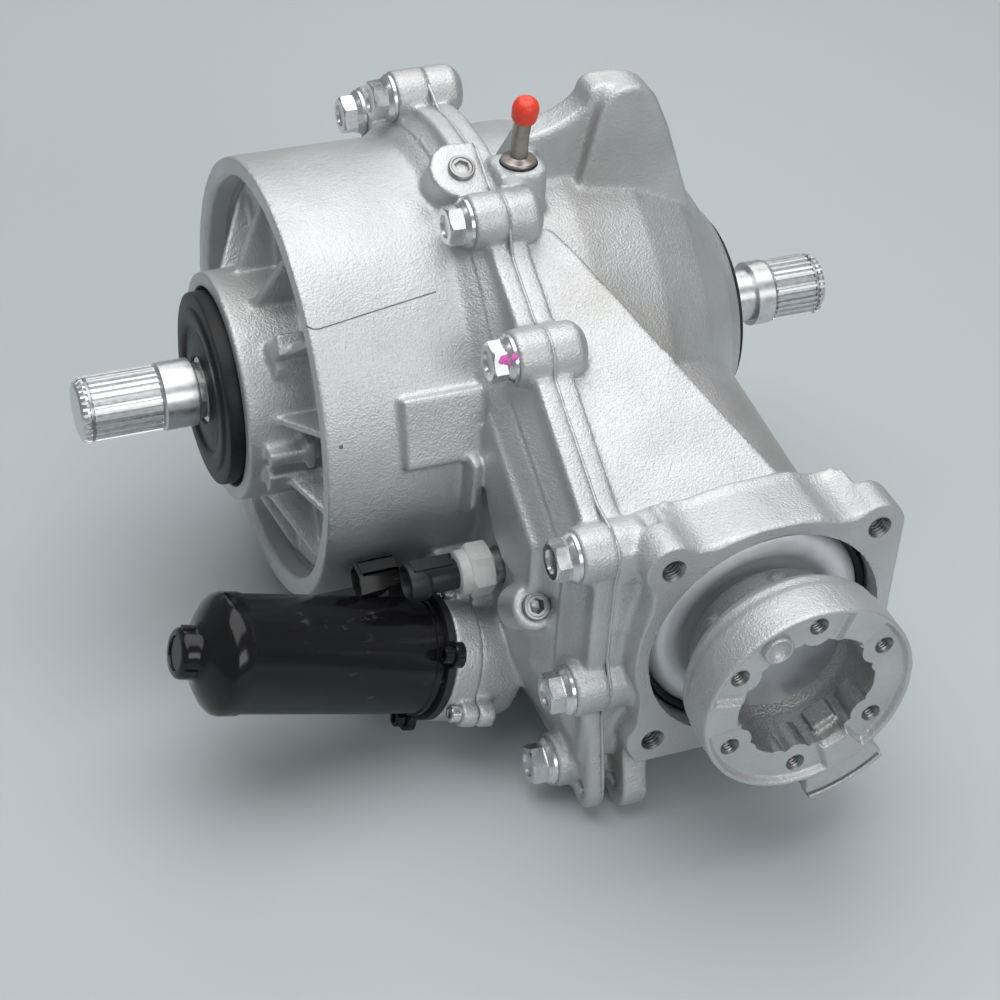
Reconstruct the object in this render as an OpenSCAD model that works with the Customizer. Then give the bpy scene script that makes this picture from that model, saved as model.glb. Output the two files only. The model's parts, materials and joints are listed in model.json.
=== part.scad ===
// Rear differential with an electronically controlled clutch on its left output.
// The axle lies along X with the right output at +X, the input flange faces -Y, and +Z is up.
// The origin is the centre of the four-bolt front mounting face, on the pinion line.
// Modules work from the axle line and placed() moves them to that origin.

/* [Layout] */
// Distance from the front mounting face back to the axle line
nose_length = 239; // [236:0.5:246]
// Height of the axle line above the pinion line
pinion_drop = 25; // [24:0.5:26]
// Distance from the pinion line left to the joint of the two casings
split_offset = 75; // [74:0.5:80]
// Distance from the pinion line to the tip of the left output
left_reach = 276.5; // [270:0.5:290]
// Distance from the pinion line to the tip of the right output
right_reach = 145; // [138:0.5:160]

/* [Casings] */
// Radius of the round part of the joint flange
joint_r = 131; // [130:0.5:133]
// Thickness of the cast walls
casing_wall = 8; // [7:0.5:9]
// Thickness of the joint flange on each casing
joint_t = 10; // [8:0.5:12]
// Length of the bolt bosses left of the joint
boss_left = 17; // [15:0.5:20]
// Length of the bolt bosses right of the joint
boss_right = 20; // [16:0.5:24]
// Radius of the bolt bosses
boss_r = 14; // [13:0.25:15]
// Radius of the clutch drum casing
drum_r = 116; // [115:0.5:118]
// Distance from the pinion line to the left rim of the drum casing
drum_reach = 179.5; // [178:0.5:184]
// Radius of the right hub at its end
hub_r = 56; // [55:0.5:60]
// Distance from the pinion line to the end of the right hub
hub_reach = 72; // [70:0.5:74]
// Radius of the ring gear chamber
chamber_r = 110; // [109:0.5:111]

/* [Front mount] */
// Spacing of the four front mounting holes, both ways
front_pitch = 107; // [105:0.5:108]
// Core radius of the front mounting threads
front_hole_r = 5.1; // [4.5:0.05:5.5]
// Depth of the front mounting threads
front_hole_depth = 24; // [18:1:26]
// Radius of the front bore
front_bore_r = 60.4; // [59.5:0.1:61]
// Depth of the front bore
front_bore_depth = 22; // [20:0.5:24]
// Thickness of the square front flange
front_flange_t = 21; // [18:0.5:23]

/* [Mounting ears] */
// Core radius of the blind thread in the back of the top ear
top_ear_hole_r = 5.1; // [4.5:0.05:5.5]
// Depth of that thread
top_ear_depth = 16; // [12:1:16]
// Thickness of the top ear
top_ear_t = 20; // [18:0.5:24]
// Height of the top ear's hole above the axle
top_ear_z = 145; // [143:0.5:148]
// Radius of the hole through the two lower ears
low_ear_hole_r = 4; // [3:0.25:5]
// Gap between the two lower ears
low_ear_gap = 10; // [8:0.5:12]
// Thickness of the left lower ear
left_ear_t = 8; // [7:0.5:10]
// Thickness of the right lower ear
right_ear_t = 13; // [10:0.5:15]

/* [Input flange] */
// Bolt circle diameter of the input flange
input_pcd = 86; // [84:0.5:88]
// Number of input flange bolt holes
input_holes = 6; // [4:1:8]
// Core radius of the input flange threads
input_hole_r = 4.25; // [3.5:0.05:4.6]
// Outer radius of the input flange
input_r = 53.8; // [52.5:0.1:54.5]
// Distance that the input flange stands out of the front mounting face
input_stand = 48; // [45:0.5:54]
// Radius of the bowl in the input flange
bowl_r = 35.5; // [33:0.5:36]
// Radius of the polished dust deflector
deflector_r = 50; // [46:0.5:51]

/* [Outputs] */
// Outer radius of the output splines
spline_r = 17.2; // [16.5:0.1:18]
// Depth of the output splines
spline_depth = 1.6; // [1:0.1:2]
// Number of output splines
spline_teeth = 30; // [24:1:34]
// Length of the left output spline
left_spline = 35; // [25:0.5:36]
// Length of the right output spline
right_spline = 24; // [20:0.5:26]
// Radius of the plain collar behind each spline
collar_r = 17.8; // [17.3:0.1:19]
// Length of that collar on the left
left_collar = 18.5; // [14:0.5:20]
// Length of that collar on the right
right_collar = 12; // [8:0.5:14]
// Radius of the black cap on each seal
seal_r = 50.6; // [48:0.1:51]

/* [Final drive] */
// Teeth on the ring gear
ring_teeth = 41;
// Teeth on the pinion
pinion_teeth = 11;
// Outer radius of the ring gear
ring_r = 107; // [106:0.5:108]
// Face width of the ring gear teeth
ring_face = 26; // [22:0.5:27]
// Radius of the pinion over its teeth at mid face
pinion_tip_r = 35; // [34.5:0.1:35.5]
// Height of the pinion teeth
pinion_tooth = 7.5; // [7:0.1:8]
// Rise of the pinion radius per millimetre of its length
pinion_slope = 0.25; // [0.2:0.01:0.3]
// Clearance between the teeth of the ring gear and the pinion
tooth_gap = 0.6; // [0.5:0.05:0.7]

/* [Differential gears] */
// Teeth on each side gear
side_teeth = 14;
// Teeth on each spider gear
spider_teeth = 10;
// Module of the differential gears at their large end
diff_module = 4.5; // [4.3:0.05:4.6]
// Face width of the differential gears
diff_face = 12; // [10:0.5:13]
// Backlash of the differential gears along the pitch line
diff_backlash = 0.5; // [0.3:0.05:0.7]
// Radius of the cross pin
cross_pin_r = 8; // [7:0.25:9]

/* [Clutch] */
// Pairs of clutch discs
disc_pairs = 6; // [4:1:6]
// Thickness of one clutch disc
disc_t = 1.5; // [1.3:0.05:1.55]
// Free gap beside each disc
disc_gap = 0.12; // [0.05:0.01:0.12]
// Outer radius of the friction face
disc_r = 82; // [78:0.5:82]
// Travel of the pressure ring
press_travel = 0.8; // [0.6:0.05:0.9]
// Radius of the circle of ramp balls
ramp_r = 72; // [70:0.5:74]
// Radius of a ramp ball
ball_r = 4; // [3.5:0.1:4.2]
// Number of ramp balls
ramp_balls_n = 5; // [3:1:6]
// Turn of the ramp ring in degrees
ramp_turn = 36; // [30:1:36]

/* [Actuator] */
// Tilt of the motor axis against the axle, in degrees
motor_tilt = 16; // [14:0.5:18]
// Radius of the motor can
can_r = 29.5; // [28:0.25:30]
// Length of the motor can
can_length = 112; // [105:0.5:118]
// Radius of the nub on the motor's end
nub_r = 12.8; // [11:0.2:14]
// Depth of the axle line's level above the gear end of the motor axis
motor_low = 89.5; // [88.5:0.5:90.5]
// Module of the actuator gears
act_module = 1.5;
// Teeth on the motor pinion
motor_teeth = 11;
// Teeth on the idler gear
idler_teeth = 48;
// Teeth that the ramp ring would have all round
ramp_teeth = 129;
// Width of the actuator gears
act_face = 7; // [6:0.5:7.5]

/* [Sensor, plugs and breather] */
// Radius of the pale sensor nut across its corners
nut_r = 14; // [13:0.25:15]
// Length of the pale sensor nut
nut_length = 12; // [10:0.5:14]
// Thread radius of the fill plug and the level plug
plug_r = 5.4; // [5:0.1:6]
// Radius of the breather tube
breather_r = 4.4; // [4:0.1:5]
// Height of the breather tube's bend above its boss
breather_rise = 14; // [12:0.5:18]
// Radius of the housing bolts' washers
washer_r = 12.5; // [12:0.1:13.5]
// Shank radius of the housing bolts
bolt_r = 5.9; // [5.4:0.1:6]

/* [Hidden] */
$fn = 64;

// Small clearances that every fit shares
fit_gap = 0.05;
seat_gap = 0.02;
free_gap = 0.3;

// Stations along the axle, negative to the left
split_x = -split_offset;
bolt_seat_x = split_x - boss_left;
wall_right_x = split_x - 13;
bearing_w = 16;
wall_left_x = wall_right_x - bearing_w;
ramp_right_x = wall_left_x - 3.3;
ramp_t = 9.7;
ramp_left_x = ramp_right_x - ramp_t;
ramp_clear = 2.2;
press_right_x = ramp_left_x - ramp_clear;
press_t = 8;
press_left_x = press_right_x - press_t;
pack_right_x = press_left_x - press_travel - 0.4;
disc_pitch = disc_t + disc_gap;
pack_length = 2*disc_pairs*disc_pitch;
drum_wall_right_x = pack_right_x - pack_length - 0.6;
clutch_wall = 3;
drum_wall_left_x = drum_wall_right_x - clutch_wall;
drum_end_x = -drum_reach;
recess = 14;
web_t = casing_wall;
web_left_x = drum_end_x + recess;
gear_x = ramp_left_x + act_face/2 + 0.6;
ring_back_x = split_x + 13;
case_flange_t = 8;
case_flange_x = ring_back_x - case_flange_t;
right_bearing_x = hub_reach - 26;
right_bearing_w = 16;
case_end_x = right_bearing_x + right_bearing_w;

// Radii along the axle
wall_bearing_r = 52;
ramp_in_r = 56;
sleeve_r = 34;
drum_bore_r = drum_r - 10;
snap_in_r = drum_bore_r - 3;
clutch_out_r = disc_r + 9;
clutch_in_r = disc_r + 3;
hub_spline_r = 50;
hub_tooth = 3.5;
case_r = 58;
cavity_r = 41.5;
shaft_r = 15;
shaft_spline_bore = shaft_r + fit_gap;
land_r = 25;
trunnion_r = 30;
right_cup_r = 47;

// Housing bolts: the centre of each boss as Y and Z from the axle
hidden_bolt_angles = [5, -30, -63, -117];
front_bolts = [[-124, 78.1], [-212.3, 25.6], [-218.8, -51.8], [-135, -108]];
arc_bolt_angles = [117.6, 67, 41.9];
arc_bolt_reach = [-0.3, 3.9, 3.8];
arc_bolts = [for (i = [0 : 2]) (joint_r + arc_bolt_reach[i])*[cos(arc_bolt_angles[i]), sin(arc_bolt_angles[i])]];
ear_bolt = [-206.3, -110.7];
bolt_head = 12;
plug_head_r = plug_r + 1.4;
bolt_places = concat(front_bolts, arc_bolts, [ear_bolt],
    [for (a = hidden_bolt_angles) [joint_r*cos(a), joint_r*sin(a)]]);

// Outline of the joint flange forward of the round part, as Y and Z from the axle
nose_side = [[-40, 112], [-75, 106], [-134, 76], [-197, 40], [-224, 27], [-224, -98],
    [-196, -112], [-60, -114], [0, 0]];

// Stations along the pinion line, counted forward from the axle
gear_toe_f = 74;
gear_heel_f = 106;
gear_mid_f = 92;
rear_cone_f = 112;
rear_cone_w = 22;
front_cone_f = nose_length - 63;
front_cone_w = 20;
front_cone_end_f = front_cone_f + front_cone_w;
seal_f = nose_length - 39;
seal_w = 10;
bore_floor_f = nose_length - front_bore_depth;
input_face_f = nose_length + input_stand;
cup_depth = 36;
cup_back_f = input_face_f - cup_depth;
nut_f = cup_back_f - 11;
pinion_shaft_r = 17.5;
rear_cone_r = 20;
rear_cup_r = 40;
front_cup_r = 36;
flange_hub_r = 25;

// Ears
ear_hole = [-224, -116];
ear_round = 14;
top_ear_x = 3;
top_ear_y = -24;
top_ear_r = 17;

// Actuator
motor_pinion_r = act_module*motor_teeth/2/cos(motor_tilt);
idler_r = act_module*idler_teeth/2;
ramp_gear_r = act_module*ramp_teeth/2;
act_gap = 0.15;
idler_swing = idler_r + ramp_gear_r + act_gap;
idler_z = -motor_low;
idler_y = -sqrt(idler_swing*idler_swing - motor_low*motor_low);
motor_y = idler_y - idler_r - motor_pinion_r - act_gap;
can_s = 27;
motor_flange_t = 4;
adapter_r = 33;
adapter_back_s = 8;
rotor_r = 21;
motor_shaft_r = 5;
motor_pinion_w = act_face + 2;
idler_step = 360/idler_teeth;
idler_case_r = idler_r + 9;
idler_case_x = gear_x - act_face/2 - 5;

// Sensor and plugs, as X, Y and Z from the axle
sensor_at = [-98, -141, -34];
fill_plug_at = [-86, -34, 130];
fill_plug_lean = 28;
breather_lean = 14;
level_plug_at = [-99, -190, -21];
level_plug_lean = 50;
breather_at = [-57, -37, 117];
motor_plug_at = [-155, -122, -44];

// Places a module that is measured from the axle line into the part's own frame
module placed() {
    translate([0, nose_length, pinion_drop]) children();
}

// Turns a shape whose own axes are Y, Z and X onto the axle
module on_axle(x = 0) {
    translate([x, 0, 0]) rotate([90, 0, 90]) children();
}

// Turns a shape whose own axes are X, Z and forward onto the pinion line
module on_pinion(f = 0) {
    translate([0, -f, -pinion_drop]) rotate([90, 0, 0]) children();
}

// Puts a shape on the motor axis, counted from the gears towards the motor's free end
module on_motor(s = 0) {
    translate([gear_x, motor_y, idler_z]) rotate([0, motor_tilt - 90, 0])
        translate([0, 0, s]) children();
}

module lathe(points) {
    rotate_extrude() polygon(points);
}

module ring(r_out, r_in, h) {
    rotate_extrude() translate([r_in, 0]) square([r_out - r_in, h]);
}

// A round shape with square teeth
module castellated(r, depth, count, share) {
    tooth_w = 2*r*sin(180/count)*share;
    circle(r = r);
    for (i = [0 : count - 1])
        rotate(i*360/count) translate([0, -tooth_w/2]) square([r + depth, tooth_w]);
}

// Cup of a taper roller bearing, wide side at its upper end
module bearing_cup(r_out, r_mid, roller_r, width, taper = 10) {
    reach = r_mid + (roller_r + fit_gap)/cos(taper);
    lathe([[r_out, 0], [r_out, width], [reach + width/2*tan(taper), width],
        [reach - width/2*tan(taper), 0]]);
}

// Cone of a taper roller bearing with its rollers
module bearing_cone(r_in, r_mid, roller_r, width, count, taper = 10) {
    reach = r_mid - (roller_r + seat_gap)/cos(taper);
    lathe([[r_in, 0], [r_in, width], [reach + width/2*tan(taper), width],
        [reach - width/2*tan(taper), 0]]);
    for (i = [0 : count - 1])
        rotate(i*360/count) translate([r_mid, 0, width/2]) rotate([0, taper, 0])
            cylinder(r = roller_r, h = width*0.7, center = true);
}

// Hexagon head with a washer flange, seat at zero and head upward
module flange_bolt(washer, across, head, shank, length) {
    lathe([[0, -length], [shank, -length], [shank, 0], [washer, 0], [washer, 1.6],
        [across*0.56, 4.2], [0, 4.2]]);
    intersection() {
        cylinder(r = across/sqrt(3), h = head, $fn = 6);
        lathe([[0, 0], [across*0.62, 0], [across*0.62, head - 1], [across*0.46, head], [0, head]]);
    }
}

// Socket head screw, seat at zero and head upward
module socket_screw(head_r, head, shank, length) {
    difference() {
        lathe([[0, -length], [shank, -length], [shank, 0], [head_r, 0], [head_r, head - 0.6],
            [head_r - 0.6, head], [0, head]]);
        translate([0, 0, head*0.45]) cylinder(r = head_r*0.55, h = head, $fn = 6);
    }
}

// Outline of the joint flange, looked at along the axle
module joint_outline() {
    circle(r = joint_r);
    polygon(nose_side);
    for (p = bolt_places) translate(p) circle(r = boss_r);
}

// Main housing, the right casing
chamber_out_r = chamber_r + 5;
chamber_shape = [[0, split_x], [chamber_out_r, split_x], [chamber_out_r, -30], [chamber_out_r - 7, 8], [96, 36],
    [74, 58], [hub_r + 4, hub_reach - 8], [hub_r, hub_reach], [0, hub_reach]];

module nose_body() {
    neck_r = front_bore_r + 5.6;
    on_axle(split_x + 0.7) linear_extrude(40) polygon([[-60, 86], [-134, 60], [-197, 24], [-214, 14],
        [-214, -88], [-196, -100], [-60, -104]]);
    on_pinion() lathe([[0, 62], [neck_r, 62], [neck_r - 7, nose_length - 54],
        [neck_r, nose_length - front_flange_t + 3.4], [0, nose_length - front_flange_t + 3.4]]);
}

// Flat face that slopes from the chamber down to the front flange, with its ridge on the right
skirt_at = [split_x + joint_t, -75, 98];
skirt_slope = 28.2;
skirt_bank = 6.84;
skirt_t = 40;

module skirt() {
    foot = 67 - nose_length;
    translate(skirt_at) rotate([skirt_slope, -skirt_bank, 0]) translate([0, 0, -skirt_t])
        linear_extrude(skirt_t) polygon([[-9, foot + 31], [77, foot + 28], [25, -2], [18, 14], [1, 20]]);
}

module front_flange_outline() {
    half = front_pitch/2;
    circle(r = front_bore_r + 7);
    for (i = [-1, 1], j = [-1, 1]) translate([i*half, j*half]) circle(r = boss_r - 0.5);
    translate([-half - 9, -half - 13.5]) square([2*half + 21, half]);
    translate([0, -half]) square([half + boss_r - 0.5, 2*half]);
}

module top_ear_outline() {
    hull() {
        translate([top_ear_x, top_ear_z]) circle(r = top_ear_r);
        translate([top_ear_x + 15, top_ear_z - 11]) circle(r = 8);
        translate([top_ear_x - 14, 100]) circle(r = 12);
        translate([38, 66]) circle(r = 12);
    }
}

module main_housing_solid() {
    on_axle(split_x) linear_extrude(joint_t) joint_outline();
    for (p = bolt_places)
        on_axle(split_x) translate([p[0], p[1], 0])
            lathe([[0, 0], [boss_r, 0], [boss_r, boss_right - 5], [boss_r - 5, boss_right], [0, boss_right]]);
    on_axle() lathe(chamber_shape);
    nose_body();
    skirt();
    on_pinion(nose_length - front_flange_t) linear_extrude(front_flange_t) front_flange_outline();
    translate([0, top_ear_y + top_ear_t/2, 0]) rotate([90, 0, 0])
        linear_extrude(top_ear_t) top_ear_outline();
    mirror([0, 0, 1]) translate([0, top_ear_y + top_ear_t/2, 0]) rotate([90, 0, 0])
        linear_extrude(top_ear_t) hull() {
            translate([top_ear_x, joint_r - top_ear_r]) circle(r = top_ear_r);
            translate([-34, 90]) circle(r = 20);
            translate([40, 76]) circle(r = 14);
        }
    on_axle(split_x + low_ear_gap) linear_extrude(right_ear_t) hull() {
        translate(ear_hole) circle(r = ear_round);
        translate([-205, -70]) circle(r = 20);
    }
    translate(breather_at) translate([0, 0, -14]) cylinder(r = 9.5, h = 28);
}

module main_housing_cuts() {
    // ring gear chamber
    on_axle() lathe([[0, split_x - 1], [chamber_r, split_x - 1], [chamber_r, -28],
        [88, 18], [66, 38], [58, right_bearing_x], [0, right_bearing_x]]);
    // room for the pinion head
    on_pinion(30) cylinder(r = pinion_tip_r + 8, h = rear_cone_f - 30 - 1);
    // right carrier bearing, shaft passage and seal seat
    on_axle(right_bearing_x - 1) cylinder(r = right_cup_r, h = right_bearing_w + 1);
    on_axle(right_bearing_x) cylinder(r = 38, h = 60);
    on_axle(hub_reach - 6) cylinder(r = seal_r - 3, h = 20);
    // pinion bearings, seal and front bore
    on_pinion(rear_cone_f - 2) cylinder(r = rear_cup_r, h = rear_cone_w + 2);
    on_pinion(rear_cone_f) cylinder(r = 30, h = 200);
    on_pinion(front_cone_f) cylinder(r = front_cup_r, h = 200);
    on_pinion(bore_floor_f) cylinder(r = front_bore_r, h = 200);
    // front mounting threads
    half = front_pitch/2;
    for (i = [-1, 1], j = [-1, 1])
        on_pinion(nose_length - front_hole_depth) translate([i*half, j*half, 0])
            cylinder(r = front_hole_r, h = front_hole_depth + 1);
    // threads for the housing bolts
    for (p = bolt_places)
        on_axle(split_x - 1) translate([p[0], p[1], 0]) cylinder(r = bolt_r + seat_gap, h = boss_right - 1);
    // top ear and lower ear holes
    translate([top_ear_x, top_ear_y + top_ear_t/2 + 1, top_ear_z]) rotate([90, 0, 0])
        cylinder(r = top_ear_hole_r, h = top_ear_depth + 1);
    on_axle(split_x) translate([ear_hole[0], ear_hole[1], 0]) cylinder(r = low_ear_hole_r, h = 60);
    // breather seat
    translate(breather_at) translate([0, 0, 2]) cylinder(r = breather_r + seat_gap, h = 40);
}

module main_housing() {
    color("silver") placed() difference() {
        main_housing_solid();
        main_housing_cuts();
    }
}

// Left casing with the clutch drum
module front_pocket_outline(inset = 0) {
    polygon([[-70, 92 - inset], [-134 + inset/2, 64 - inset], [-197 + inset/2, 30 - inset],
        [-216 + inset, 20 - inset], [-216 + inset, -90 + inset], [-196 + inset/2, -102 + inset],
        [-70, -104 + inset]]);
}

module adapter_lugs_outline(grow = 0) {
    for (p = adapter_screw_places) {
        translate(p) circle(r = adapter_lug_r + grow);
        rotate(atan2(p[1], p[0])) translate([0, -adapter_arm/2]) square([norm(p), adapter_arm]);
    }
}

module left_casing_solid() {
    on_axle(split_x - joint_t) linear_extrude(joint_t) joint_outline();
    for (p = bolt_places)
        on_axle(bolt_seat_x) translate([p[0], p[1], 0]) cylinder(r = boss_r, h = boss_left);
    on_axle(drum_end_x) cylinder(r = drum_r, h = drum_reach + split_x);
    // collar that carries the ramp ring and the pressure ring
    on_axle(press_left_x) cylinder(r = ramp_in_r - fit_gap, h = wall_left_x - press_left_x + 1);
    // shoulder between the drum and the joint
    on_axle() lathe([[0, split_x - 1], [joint_r - 4, split_x - joint_t], [drum_r, split_x - 26], [0, split_x - 26]]);
    // front wall over the pinion side
    hull() {
        on_axle(split_x - joint_t) linear_extrude(2) front_pocket_outline();
        on_axle(split_x - 24) linear_extrude(2) polygon([[-70, 70], [-120, 50], [-186, 12], [-186, -60],
            [-150, -88], [-70, -92]]);
    }
    // gear case of the actuator, round the idler and round the motor pinion
    on_axle(idler_case_x) translate([idler_y, idler_z, 0])
        cylinder(r = idler_case_r, h = split_x - idler_case_x - 7);
    on_motor(-17) cylinder(r = adapter_r - 3, h = 18 + adapter_back_s);
    on_motor(-2) linear_extrude(adapter_back_s + 3) adapter_lugs_outline();
    // boss of the sensor
    on_axle(sensor_at[0]) translate([sensor_at[1], sensor_at[2], 0]) cylinder(r = nut_r + 1.5, h = 20);
    // raised pad on the drum
    on_axle(-141) linear_extrude(54) rotate(163) translate([100, -19]) square([21, 37]);
    // fill plug and level plug pads
    translate(fill_plug_at) rotate([fill_plug_lean, 0, 0]) translate([0, 0, -28]) cylinder(r = 16, h = 28);
    translate(level_plug_at) rotate([level_plug_lean, 0, 0]) translate([0, 0, -26]) cylinder(r = 12, h = 26);
    // lower ear and its bolt boss
    on_axle(split_x - left_ear_t) linear_extrude(left_ear_t) hull() {
        translate(ear_hole) circle(r = ear_round - 3);
        translate(ear_bolt) circle(r = boss_r - 2);
        translate([-210, -60]) circle(r = 12);
    }
}

module left_casing_cuts() {
    // bearing wall bore, drum bore, rim step and groove for the snap ring
    on_axle(wall_left_x) cylinder(r = wall_bearing_r, h = 60);
    on_axle(press_left_x - 1) cylinder(r = wall_bearing_r - 2, h = 60);
    on_axle(drum_end_x - 1) cylinder(r = drum_bore_r, h = press_left_x - drum_end_x + 1);
    on_axle(press_left_x - 1) ring(drum_bore_r, ramp_in_r - fit_gap, wall_left_x - press_left_x + 1);
    on_axle(web_left_x - 2.2) cylinder(r = drum_bore_r + 2, h = 2.2);
    on_axle(drum_end_x - 1) cylinder(r = drum_bore_r + 1.2, h = 4);
    // ring gear chamber
    on_axle(wall_right_x) cylinder(r = chamber_r, h = 60);
    // pocket over the pinion side
    on_axle(wall_right_x + 2) linear_extrude(40) front_pocket_outline(casing_wall);
    // idler and window into the drum
    on_axle(gear_x - act_face/2 - 1) translate([idler_y, idler_z, 0]) cylinder(r = idler_r + 3, h = act_face + 2);
    // motor pinion and seat of the adapter
    on_motor(-9) cylinder(r = motor_pinion_r + 3, h = 60);
    for (p = adapter_screw_places)
        on_motor(0) translate([p[0], p[1], 0]) cylinder(r = adapter_screw_r + seat_gap, h = 40);
    on_motor(adapter_back_s) cylinder(r = adapter_r + adapter_lug_r, h = can_length);
    on_motor(adapter_back_s) linear_extrude(4) adapter_lugs_outline(1);
    // threads and holes
    for (p = bolt_places)
        on_axle(bolt_seat_x - 1) translate([p[0], p[1], 0]) cylinder(r = bolt_r + 0.6, h = boss_left + 2);
    for (p = bolt_places)
        on_axle(bolt_seat_x - bolt_head - 0.6) translate([p[0], p[1], 0])
            cylinder(r = washer_r + free_gap, h = bolt_head + 0.6);
    translate(level_plug_at) rotate([level_plug_lean, 0, 0]) cylinder(r = plug_head_r + free_gap, h = 12);
    translate(fill_plug_at) rotate([fill_plug_lean, 0, 0]) cylinder(r = plug_head_r + free_gap, h = 12);
    on_axle(split_x) cylinder(r = 2*joint_r, h = boss_right);
    on_axle(sensor_at[0] - 1) translate([sensor_at[1], sensor_at[2], 0]) cylinder(r = 9 + seat_gap, h = 22);
    translate(fill_plug_at) rotate([fill_plug_lean, 0, 0]) translate([0, 0, -30]) cylinder(r = plug_r + seat_gap, h = 40);
    translate(level_plug_at) rotate([level_plug_lean, 0, 0]) translate([0, 0, -30]) cylinder(r = plug_r + seat_gap, h = 40);
    on_axle(split_x - 20) translate([ear_hole[0], ear_hole[1], 0]) cylinder(r = low_ear_hole_r, h = 60);
    on_axle(gear_x - act_face/2 - 4) translate([idler_y, idler_z, 0]) cylinder(r = 5 + seat_gap, h = 20);
}

module left_casing() {
    color("silver") placed() difference() {
        left_casing_solid();
        left_casing_cuts();
    }
}

// End cover with the left hub
cover_ribs = 12;
hub_out_r = 60;
hub_end_x = drum_end_x - 23;

module end_cover() {
    color("silver") placed() difference() {
        union() {
            on_axle(web_left_x) ring(drum_bore_r - fit_gap, land_r + 2, web_t);
            on_axle(web_left_x) ring(drum_bore_r - fit_gap, drum_bore_r - 6, web_t + 4);
            on_axle(hub_end_x) ring(hub_out_r, land_r + 2, web_left_x - hub_end_x + 1);
            for (i = [0 : cover_ribs - 1])
                rotate([(i + 0.5)*360/cover_ribs, 0, 0]) translate([0, 2, 0]) rotate([90, 0, 0])
                    linear_extrude(4) polygon([[web_left_x + 1, hub_out_r - 2], [drum_end_x - 12, hub_out_r - 2],
                        [drum_end_x - 8, hub_out_r + 2], [web_left_x - 6, snap_in_r - 8],
                        [web_left_x - 1, snap_in_r - 1], [web_left_x + 1, snap_in_r - 1]]);
            // small boss and long pad on the hub
            on_axle(hub_end_x + 16) rotate(138) translate([hub_out_r - 2, 0, 0]) cylinder(r = 8, h = 24);
            on_axle(hub_end_x + 8) linear_extrude(28) rotate(196) translate([hub_out_r - 4, -6]) square([12, 12]);
        }
        on_axle(hub_end_x - 1) cylinder(r = seal_r + 1.6, h = 12);
        on_axle(hub_end_x - 1) cylinder(r = 45, h = web_left_x - hub_end_x - 3);
    }
}

module cover_snap_ring() {
    color("dimgray") placed() on_axle(web_left_x - 2.1) linear_extrude(2) difference() {
        circle(r = drum_bore_r + 1.8);
        circle(r = snap_in_r);
        rotate(200) translate([drum_bore_r - 8, -4]) square([16, 8]);
    }
}

// Fasteners and plugs
module housing_bolts() {
    color("lightgray") placed() for (p = bolt_places)
        translate([bolt_seat_x, p[0], p[1]]) rotate([0, -90, 0])
            flange_bolt(washer_r, 18, bolt_head, bolt_r, boss_left + boss_right - 4);
}

module plug() {
    difference() {
        lathe([[0, -16], [plug_r, -16], [plug_r, 0], [plug_head_r, 0], [plug_head_r, 1.6],
            [plug_head_r - 1, 2.4], [0, 2.4]]);
        translate([0, 0, -6]) cylinder(r = plug_r - 1.6, h = 20, $fn = 6);
    }
}

module fill_plug() {
    color("gray") placed() translate(fill_plug_at) rotate([fill_plug_lean, 0, 0]) plug();
}

module level_plug() {
    color("gray") placed() translate(level_plug_at) rotate([level_plug_lean, 0, 0]) plug();
}

module breather_tube() {
    color("gray") placed() translate(breather_at) {
        lathe([[0, 2 + fit_gap], [breather_r, 2 + fit_gap], [breather_r, 14 + fit_gap], [9, 14 + fit_gap],
            [9, 16.5], [breather_r, 16.5], [breather_r, 14 + breather_rise], [0, 14 + breather_rise]]);
        translate([0, 0, 14 + breather_rise]) {
            sphere(r = breather_r + 0.4);
            rotate([breather_lean, 0, 0]) cylinder(r = breather_r, h = 20);
        }
    }
}

module breather_cap() {
    color("red") placed() translate(breather_at) translate([0, 0, 14 + breather_rise])
        rotate([breather_lean, 0, 0]) translate([0, 0, 12]) lathe([[breather_r + fit_gap, 0], [breather_r + 2, 0],
            [breather_r + 2.4, 6], [breather_r + 1.4, 10], [2, 12.4], [0, 12.4], [0, 8 + free_gap],
            [breather_r + fit_gap, 8 + free_gap]]);
}

// Seals and bearing cups that stay with the casings
module left_seal() {
    color("black") placed() on_axle(hub_end_x - 9.5)
        lathe([[land_r + fit_gap, 2], [land_r + 8, 2], [land_r + 10, 0], [seal_r - 8, 0], [seal_r - 6, 1.5],
            [seal_r, 2], [seal_r, 12], [seal_r - 6, 15], [land_r + fit_gap, 15]]);
}

module right_seal() {
    color("black") placed() on_axle(hub_reach - 6)
        lathe([[land_r - 3 + fit_gap, 0], [seal_r - 3 - seat_gap, 0], [seal_r - 3 - seat_gap, 6], [seal_r, 6 + seat_gap],
            [seal_r, 9.5], [seal_r - 3, 10.5], [land_r + 4, 10.5], [land_r - 3 + fit_gap, 8]]);
}

module left_bearing_cup() {
    color("slategray") placed() on_axle(wall_left_x)
        bearing_cup(wall_bearing_r, 43.5, 3.8, bearing_w);
}

module left_bearing_cone() {
    color("slategray") placed() on_axle(wall_left_x)
        bearing_cone(sleeve_r, 43.5, 3.8, bearing_w, 22);
}

module right_bearing_cup() {
    color("slategray") placed() on_axle(right_bearing_x + right_bearing_w) mirror([0, 0, 1])
        bearing_cup(right_cup_r, 39, 3.6, right_bearing_w);
}

module right_bearing_cone() {
    color("slategray") placed() on_axle(right_bearing_x + right_bearing_w) mirror([0, 0, 1])
        bearing_cone(trunnion_r, 39, 3.6, right_bearing_w, 20);
}

module rear_bearing_cup() {
    color("slategray") placed() on_pinion(rear_cone_f + rear_cone_w) mirror([0, 0, 1])
        bearing_cup(rear_cup_r, 31, 4.4, rear_cone_w);
}

module rear_bearing_cone() {
    color("slategray") placed() on_pinion(rear_cone_f + rear_cone_w) mirror([0, 0, 1])
        bearing_cone(rear_cone_r, 31, 4.4, rear_cone_w, 15);
}

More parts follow.
